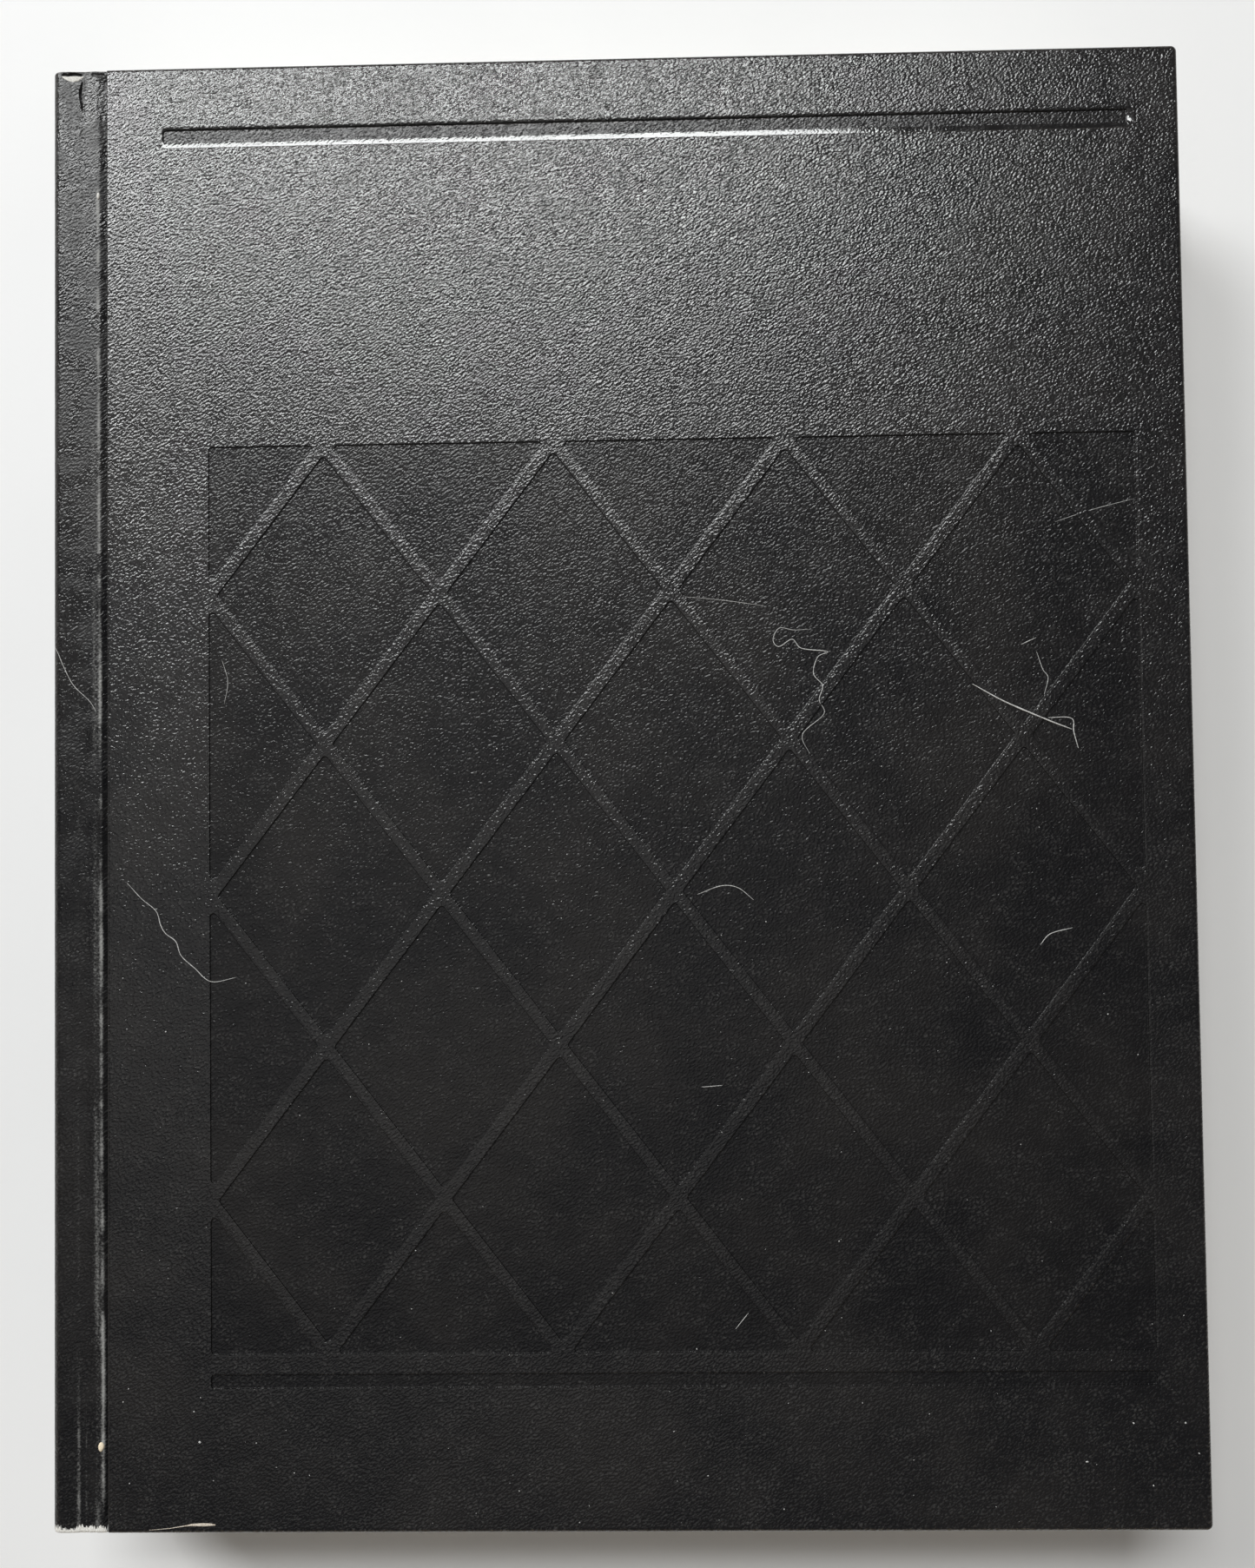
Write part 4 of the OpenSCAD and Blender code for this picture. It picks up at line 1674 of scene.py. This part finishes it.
    def dust(self, finishes: Finishes) -> bpy.types.Object:
        """Build the flecks of dust on the front cover, thicker towards the tail."""
        draw = np.random.default_rng(self.seed)
        across = draw.uniform(13.0, BOOK.width - 2.0, self.flecks)
        up = 0.60 * BOOK.height * draw.uniform(0.0, 1.0, self.flecks) ** 1.3
        named = np.array([(a, BOOK.height - d) for a, d in self.grains])
        places = np.concatenate([np.c_[across, np.clip(up, 2.0, BOOK.height - 2.0)], named])
        high = self.surface(places)
        sides = self.fleck_sides
        angle = np.linspace(0.0, 2 * math.pi, sides, endpoint=False)
        draft = MeshDraft()
        for k, (place, base) in enumerate(zip(places, high)):
            size = 0.05 + 0.13 * draw.uniform() ** 3
            size += self.grain_extra if k >= self.flecks else 0.0
            stretch, heading = draw.uniform(0.45, 1.0), draw.uniform(0.0, math.pi)
            reach = size * draw.uniform(0.7, 1.1, sides)
            x, y = reach * np.cos(angle), reach * np.sin(angle) * stretch
            ring = np.c_[
                place[0] + x * math.cos(heading) - y * math.sin(heading),
                place[1] + x * math.sin(heading) + y * math.cos(heading),
                np.full(sides, base - 0.005),
            ]
            start = draft.add(np.concatenate([ring, [[place[0], place[1], base + 0.35 * size]]]))
            for i in range(sides):
                draft.faces.append((start + i, start + (i + 1) % sides, start + sides))
            draft.faces.append(tuple(start + i for i in reversed(range(sides))))
        piece = draft.make("cover_dust", finishes.lint, 70.0)
        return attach(piece, Body.FRONT.value)


@dataclass
class CoveringDamage:
    """Torn paper at both ends of the spine, chips on the joint and a scrape at the tail."""

    joint: JointCovering
    tear_across: tuple[float, ...] = (2.0, 2.5, 3.2, 4.3, 5.4, 6.0, 6.4)
    tear_down: tuple[float, ...] = (1.12, 1.6, 2.0, 2.25, 1.95, 1.55, 1.12)
    tear_top: float = 1.08
    fray_low: float = 0.55
    fray_high: float = 10.75
    fray_step: float = 0.07
    sunk: float = 0.06
    chip_rings: tuple[tuple[float, float], ...] = (
        (1.0, -0.10), (0.96, 0.10), (0.72, 0.22), (0.35, 0.27),
    )
    cream_spot: tuple[float, float, float, float] = (9.65, 269.6, 0.62, 0.92)
    white_spot: tuple[float, float, float, float] = (9.3, 25.3, 0.32, 0.70)
    scrape: tuple[tuple[float, float, float], ...] = (
        (19.1, 285.2, 0.03), (23.0, 284.9, 0.05), (26.2, 284.4, 0.09), (27.2, 284.25, 0.22),
        (29.2, 284.2, 0.27), (31.0, 284.2, 0.24), (31.9, 284.25, 0.08),
    )

    @staticmethod
    def flake(wide: np.ndarray, up: np.ndarray, top: np.ndarray, low: np.ndarray) -> MeshDraft:
        """Draft a thin flake of paper over a grid of places, between two heights."""
        draft = MeshDraft()
        draft.slab(np.stack([wide, up, top], axis=-1), np.stack([wide, up, low], axis=-1))
        return draft

    def torn_head(self, finishes: Finishes) -> bpy.types.Object:
        """Build the white core that shows where the covering has torn at the head."""
        across = np.linspace(self.tear_across[0], self.tear_across[-1], 34)
        edge = np.interp(across, self.tear_across, self.tear_down)
        edge += 0.05 * ripple(across, Seed.TEAR_EDGE, 0.3)
        top = np.minimum(self.tear_top + 0.05 * ripple(across, Seed.TEAR_TOP, 0.35), edge - 0.02)
        share = np.linspace(0.0, 1.0, 7)
        down = edge[None] + (top - edge)[None] * share[:, None]
        wide = np.broadcast_to(across, down.shape)
        up = BOOK.height - down
        base = self.joint.heights(np.c_[wide.ravel(), up.ravel()]).reshape(down.shape)
        swell = np.minimum(1.0, 6.0 * np.minimum(share, 1.0 - share))[:, None]
        swell = swell * np.minimum(1.0, (edge - top) / 0.4)[None]
        draft = self.flake(wide, up, base + 0.012 + 0.05 * swell, base - self.sunk)
        piece = draft.make("torn_head_core", finishes.torn, 60.0)
        return self.joint.bend(piece)

    def frayed_tail(self, finishes: Finishes) -> bpy.types.Object:
        """Build the ragged pale strip where the covering has frayed at the tail."""
        across = np.arange(self.fray_low, self.fray_high, self.fray_step)
        reach = 1.15 + 0.30 * ripple(across, Seed.FRAY_WAVE, 0.75)
        reach += 0.42 * ripple(across, Seed.FRAY_TEETH, 0.15)
        reach *= 0.62 + 0.38 * eased((ripple(across, Seed.FRAY_GAPS, 1.9) + 0.75) / 0.5)
        reach = np.clip(reach, 0.15, 1.8)
        share = np.linspace(0.0, 1.0, 6)
        up = 0.06 + reach[None] * share[:, None]
        lean = 0.10 * ripple(across, Seed.FRAY_LEAN, 0.4)[None] * share[:, None]
        wide = across[None] + lean
        base = self.joint.heights(np.c_[wide.ravel(), up.ravel()]).reshape(up.shape)
        rough = 0.05 * (1.0 + ripple(across, Seed.FRAY_ROUGH, 0.14))[None] * (1.0 - share)[:, None]
        draft = self.flake(wide, up, base + 0.015 + rough, base - self.sunk)
        piece = draft.make("frayed_tail_core", finishes.torn, 60.0)
        return self.joint.bend(piece)

    def chip(
        self, name: str, spot: tuple[float, float, float, float], finish: bpy.types.Material
    ) -> bpy.types.Object:
        """Build a pale chip stuck on the joint.

        Args:
            name: Name of the piece.
            spot: Its place across and down from the head, and its two half sizes.
            finish: Its finish.

        Returns:
            The piece.
        """
        across, down, wide, tall = spot
        draft = MeshDraft()
        turn = np.linspace(0.0, 2 * math.pi, 14, endpoint=False)
        swing = 1.0 + 0.16 * ripple(turn, Seed.CHIP, 0.9)
        middle = np.array([across, BOOK.height - down])
        rings = []
        outline = np.c_[np.cos(turn) * wide, np.sin(turn) * tall]
        for share, rise in self.chip_rings:
            flat = middle + outline * (swing * share)[:, None]
            rings.append(np.c_[flat, self.joint.heights(flat) + rise])
        draft.rod(np.stack(rings))
        piece = draft.make(name, finish, 50.0)
        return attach(piece, Body.FRONT.value)

    def tail_scrape(self, finishes: Finishes) -> bpy.types.Object:
        """Build the scrape at the cover's tail edge, where the paper's core shows."""
        knots = np.array(self.scrape)
        across = np.linspace(knots[0, 0], knots[-1, 0], 90)
        middle = BOOK.height - np.interp(across, knots[:, 0], knots[:, 1])
        half = np.interp(across, knots[:, 0], knots[:, 2])
        half *= 1.0 + 0.10 * ripple(across, Seed.SCRAPE, 0.9)
        side = np.linspace(-1.0, 1.0, 5)
        up = middle[None] + half[None] * side[:, None]
        wide = np.broadcast_to(across, up.shape)
        rise = 0.008 + 0.03 * (1.0 - side**2)[:, None] * np.ones_like(up)
        draft = self.flake(wide, up, BOOK.thick + rise, np.full_like(up, BOOK.thick - 0.08))
        piece = draft.make("tail_scrape_core", finishes.scraped, 60.0)
        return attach(piece, Body.FRONT.value)

    def build(self, finishes: Finishes) -> list[bpy.types.Object]:
        """Build every damaged place."""
        return [
            self.torn_head(finishes),
            self.frayed_tail(finishes),
            self.chip("cream_chip", self.cream_spot, finishes.chip),
            self.chip("white_chip", self.white_spot, finishes.torn),
            self.tail_scrape(finishes),
        ]


@dataclass(frozen=True)
class Window:
    """A soft rectangular light that looks at the book.

    Its direction is in degrees: round from the head towards the left, and up from the table.
    """

    name: str
    round_deg: float
    up_deg: float
    size: tuple[float, float]
    watts: float
    colour: Colour = (0.97, 0.985, 1.0)
    distance: float = 3.2

    def build(self) -> None:
        """Add the light to the scene."""
        data = bpy.data.lights.new(self.name, "AREA")
        data.shape = "RECTANGLE"
        data.size, data.size_y = self.size
        data.energy = self.watts
        data.color = self.colour
        light = bpy.data.objects.new(self.name, data)
        turn, rise = math.radians(self.round_deg), math.radians(self.up_deg)
        flat = math.cos(rise)
        toward = Vector((-math.sin(turn) * flat, math.cos(turn) * flat, math.sin(rise)))
        light.location = toward * self.distance
        light.rotation_euler = (-toward).to_track_quat("-Z", "Y").to_euler()
        bpy.context.scene.collection.objects.link(light)


@dataclass
class Studio:
    """The camera, the table and the lights."""

    lens: float = 31.113
    camera_mm: tuple[float, float, float] = (6.70, -8.0, 298.32)
    camera_deg: tuple[float, float, float] = (1.6946, 1.1041, -0.7156)
    windows: tuple[Window, ...] = (
        Window("head_window", 10.5, 56.0, (1.66, 0.60), 60.0),
        Window("left_window", 43.0, 38.3, (1.0, 1.0), 60.0),
    )
    fill_left: Colour = (0.70, 0.66, 0.60)
    fill_right: Colour = (0.40, 0.37, 0.33)
    fill_front: Colour = (0.62, 0.51, 0.38)
    fill_top: Colour = (0.05, 0.05, 0.052)
    ceiling: Colour = (0.46, 0.455, 0.45)
    ceiling_at: tuple[float, float, float] = (-0.20, 0.02, 0.98)
    ceiling_deg: tuple[float, float] = (31.0, 10.0)
    rise_range: tuple[float, float] = (0.10, 0.70)
    turn_range: tuple[float, float] = (-0.8, 0.8)
    near_range: tuple[float, float] = (-0.25, -0.8)
    backdrop: Colour = (0.84, 0.84, 0.83)
    table_half: float = 3.0

    def camera(self) -> None:
        """Add the camera where the photograph was taken from."""
        data = bpy.data.cameras.new("book_camera")
        data.lens = self.lens
        data.clip_start = 0.01
        camera = bpy.data.objects.new("book_camera", data)
        camera.location = [value * MM for value in self.camera_mm]
        camera.rotation_euler = [math.radians(value) for value in self.camera_deg]
        bpy.context.scene.collection.objects.link(camera)
        bpy.context.scene.camera = camera

    def table(self) -> None:
        """Add the white table that the book lies on."""
        mesh = bpy.data.meshes.new("table_top")
        half = self.table_half
        corners = [(-half, -half, 0), (half, -half, 0), (half, half, 0), (-half, half, 0)]
        mesh.from_pydata(corners, [], [(0, 1, 2, 3)])
        mesh.materials.append(TablePaint().make())
        table = bpy.data.objects.new("table_top", mesh)
        bpy.context.scene.collection.objects.link(table)

    def lights(self) -> None:
        """Add the soft windows at the head and on the left, and the room's fill."""
        for window in self.windows:
            window.build()
        world = bpy.data.worlds.new("room_fill")
        world.use_nodes = True
        web = NodeWeb(world.node_tree)
        sky = web.tree.nodes.new("ShaderNodeTexCoord").outputs["Generated"]
        parts = web.tree.nodes.new("ShaderNodeSeparateXYZ")
        web.put(parts.inputs[0], sky)
        across = web.span(parts.outputs["X"], *self.turn_range)
        walls = web.mixed(across, self.fill_left, self.fill_right)
        near = web.span(parts.outputs["Y"], *self.near_range)
        walls = web.mixed(near, walls, self.fill_front)
        aim = web.tree.nodes.new("ShaderNodeVectorMath")
        aim.operation = "DOT_PRODUCT"
        web.put(aim.inputs[0], sky)
        aim.inputs[1].default_value = self.ceiling_at
        cosines = [math.cos(math.radians(degrees)) for degrees in self.ceiling_deg]
        above = web.mixed(web.span(aim.outputs["Value"], *cosines), self.fill_top, self.ceiling)
        room = web.mixed(web.span(parts.outputs["Z"], *self.rise_range), walls, above)
        path = web.tree.nodes.new("ShaderNodeLightPath")
        shown = web.mixed(path.outputs["Is Camera Ray"], room, self.backdrop)
        web.put(web.tree.nodes["Background"].inputs["Color"], shown)
        bpy.context.scene.world = world

    def build(self) -> None:
        """Set up the whole studio."""
        self.camera()
        self.table()
        self.lights()
        bpy.context.scene.view_settings.view_transform = "Standard"


def dress_kept_nodes(finishes: Finishes) -> None:
    """Give the CAD nodes that stay in view their finishes."""
    kept = {
        "front_flyleaf": finishes.endpaper,
        "back_flyleaf": finishes.endpaper,
        "spine_lining": finishes.lining,
        "spine_board": finishes.board,
        "front_board": finishes.board,
        "back_board": finishes.board,
    }
    for node, material in kept.items():
        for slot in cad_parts[node].material_slots:
            slot.link = "OBJECT"
            slot.material = material
        LOG.info("dressed %s with %s", node, material.name)


def main() -> None:
    """Build the studio and every piece of the book."""
    logging.basicConfig(level=logging.INFO, format="%(name)s: %(message)s")
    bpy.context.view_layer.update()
    Studio().build()
    finishes = Finishes.make_all()
    dress_kept_nodes(finishes)
    stamp = StampedFront()
    dirt = SurfaceDirt(stamp)
    front_joint = JointCovering(Side.FRONT)
    pieces = [
        CoverPanel(Side.FRONT, stamp).build(finishes),
        CoverPanel(Side.BACK, None).build(finishes),
        front_joint.build(finishes),
        JointCovering(Side.BACK).build(finishes),
        SpineTurnIn(True).build(finishes),
        SpineTurnIn(False).build(finishes),
        *(Pastedown(side).build(finishes) for side in Side),
        *(Pastedown(side).fold(finishes) for side in Side),
        PageBlock().build(finishes),
        ThreadBand("head_band", True).build(finishes),
        ThreadBand("tail_band", False).build(finishes),
        dirt.lint(finishes),
        dirt.hair(finishes, front_joint),
        dirt.dust(finishes),
        *CoveringDamage(front_joint).build(finishes),
    ]
    for piece in pieces:
        LOG.info("built %s with %d faces", piece.name, len(piece.data.polygons))


if __name__ == "__main__":
    main()
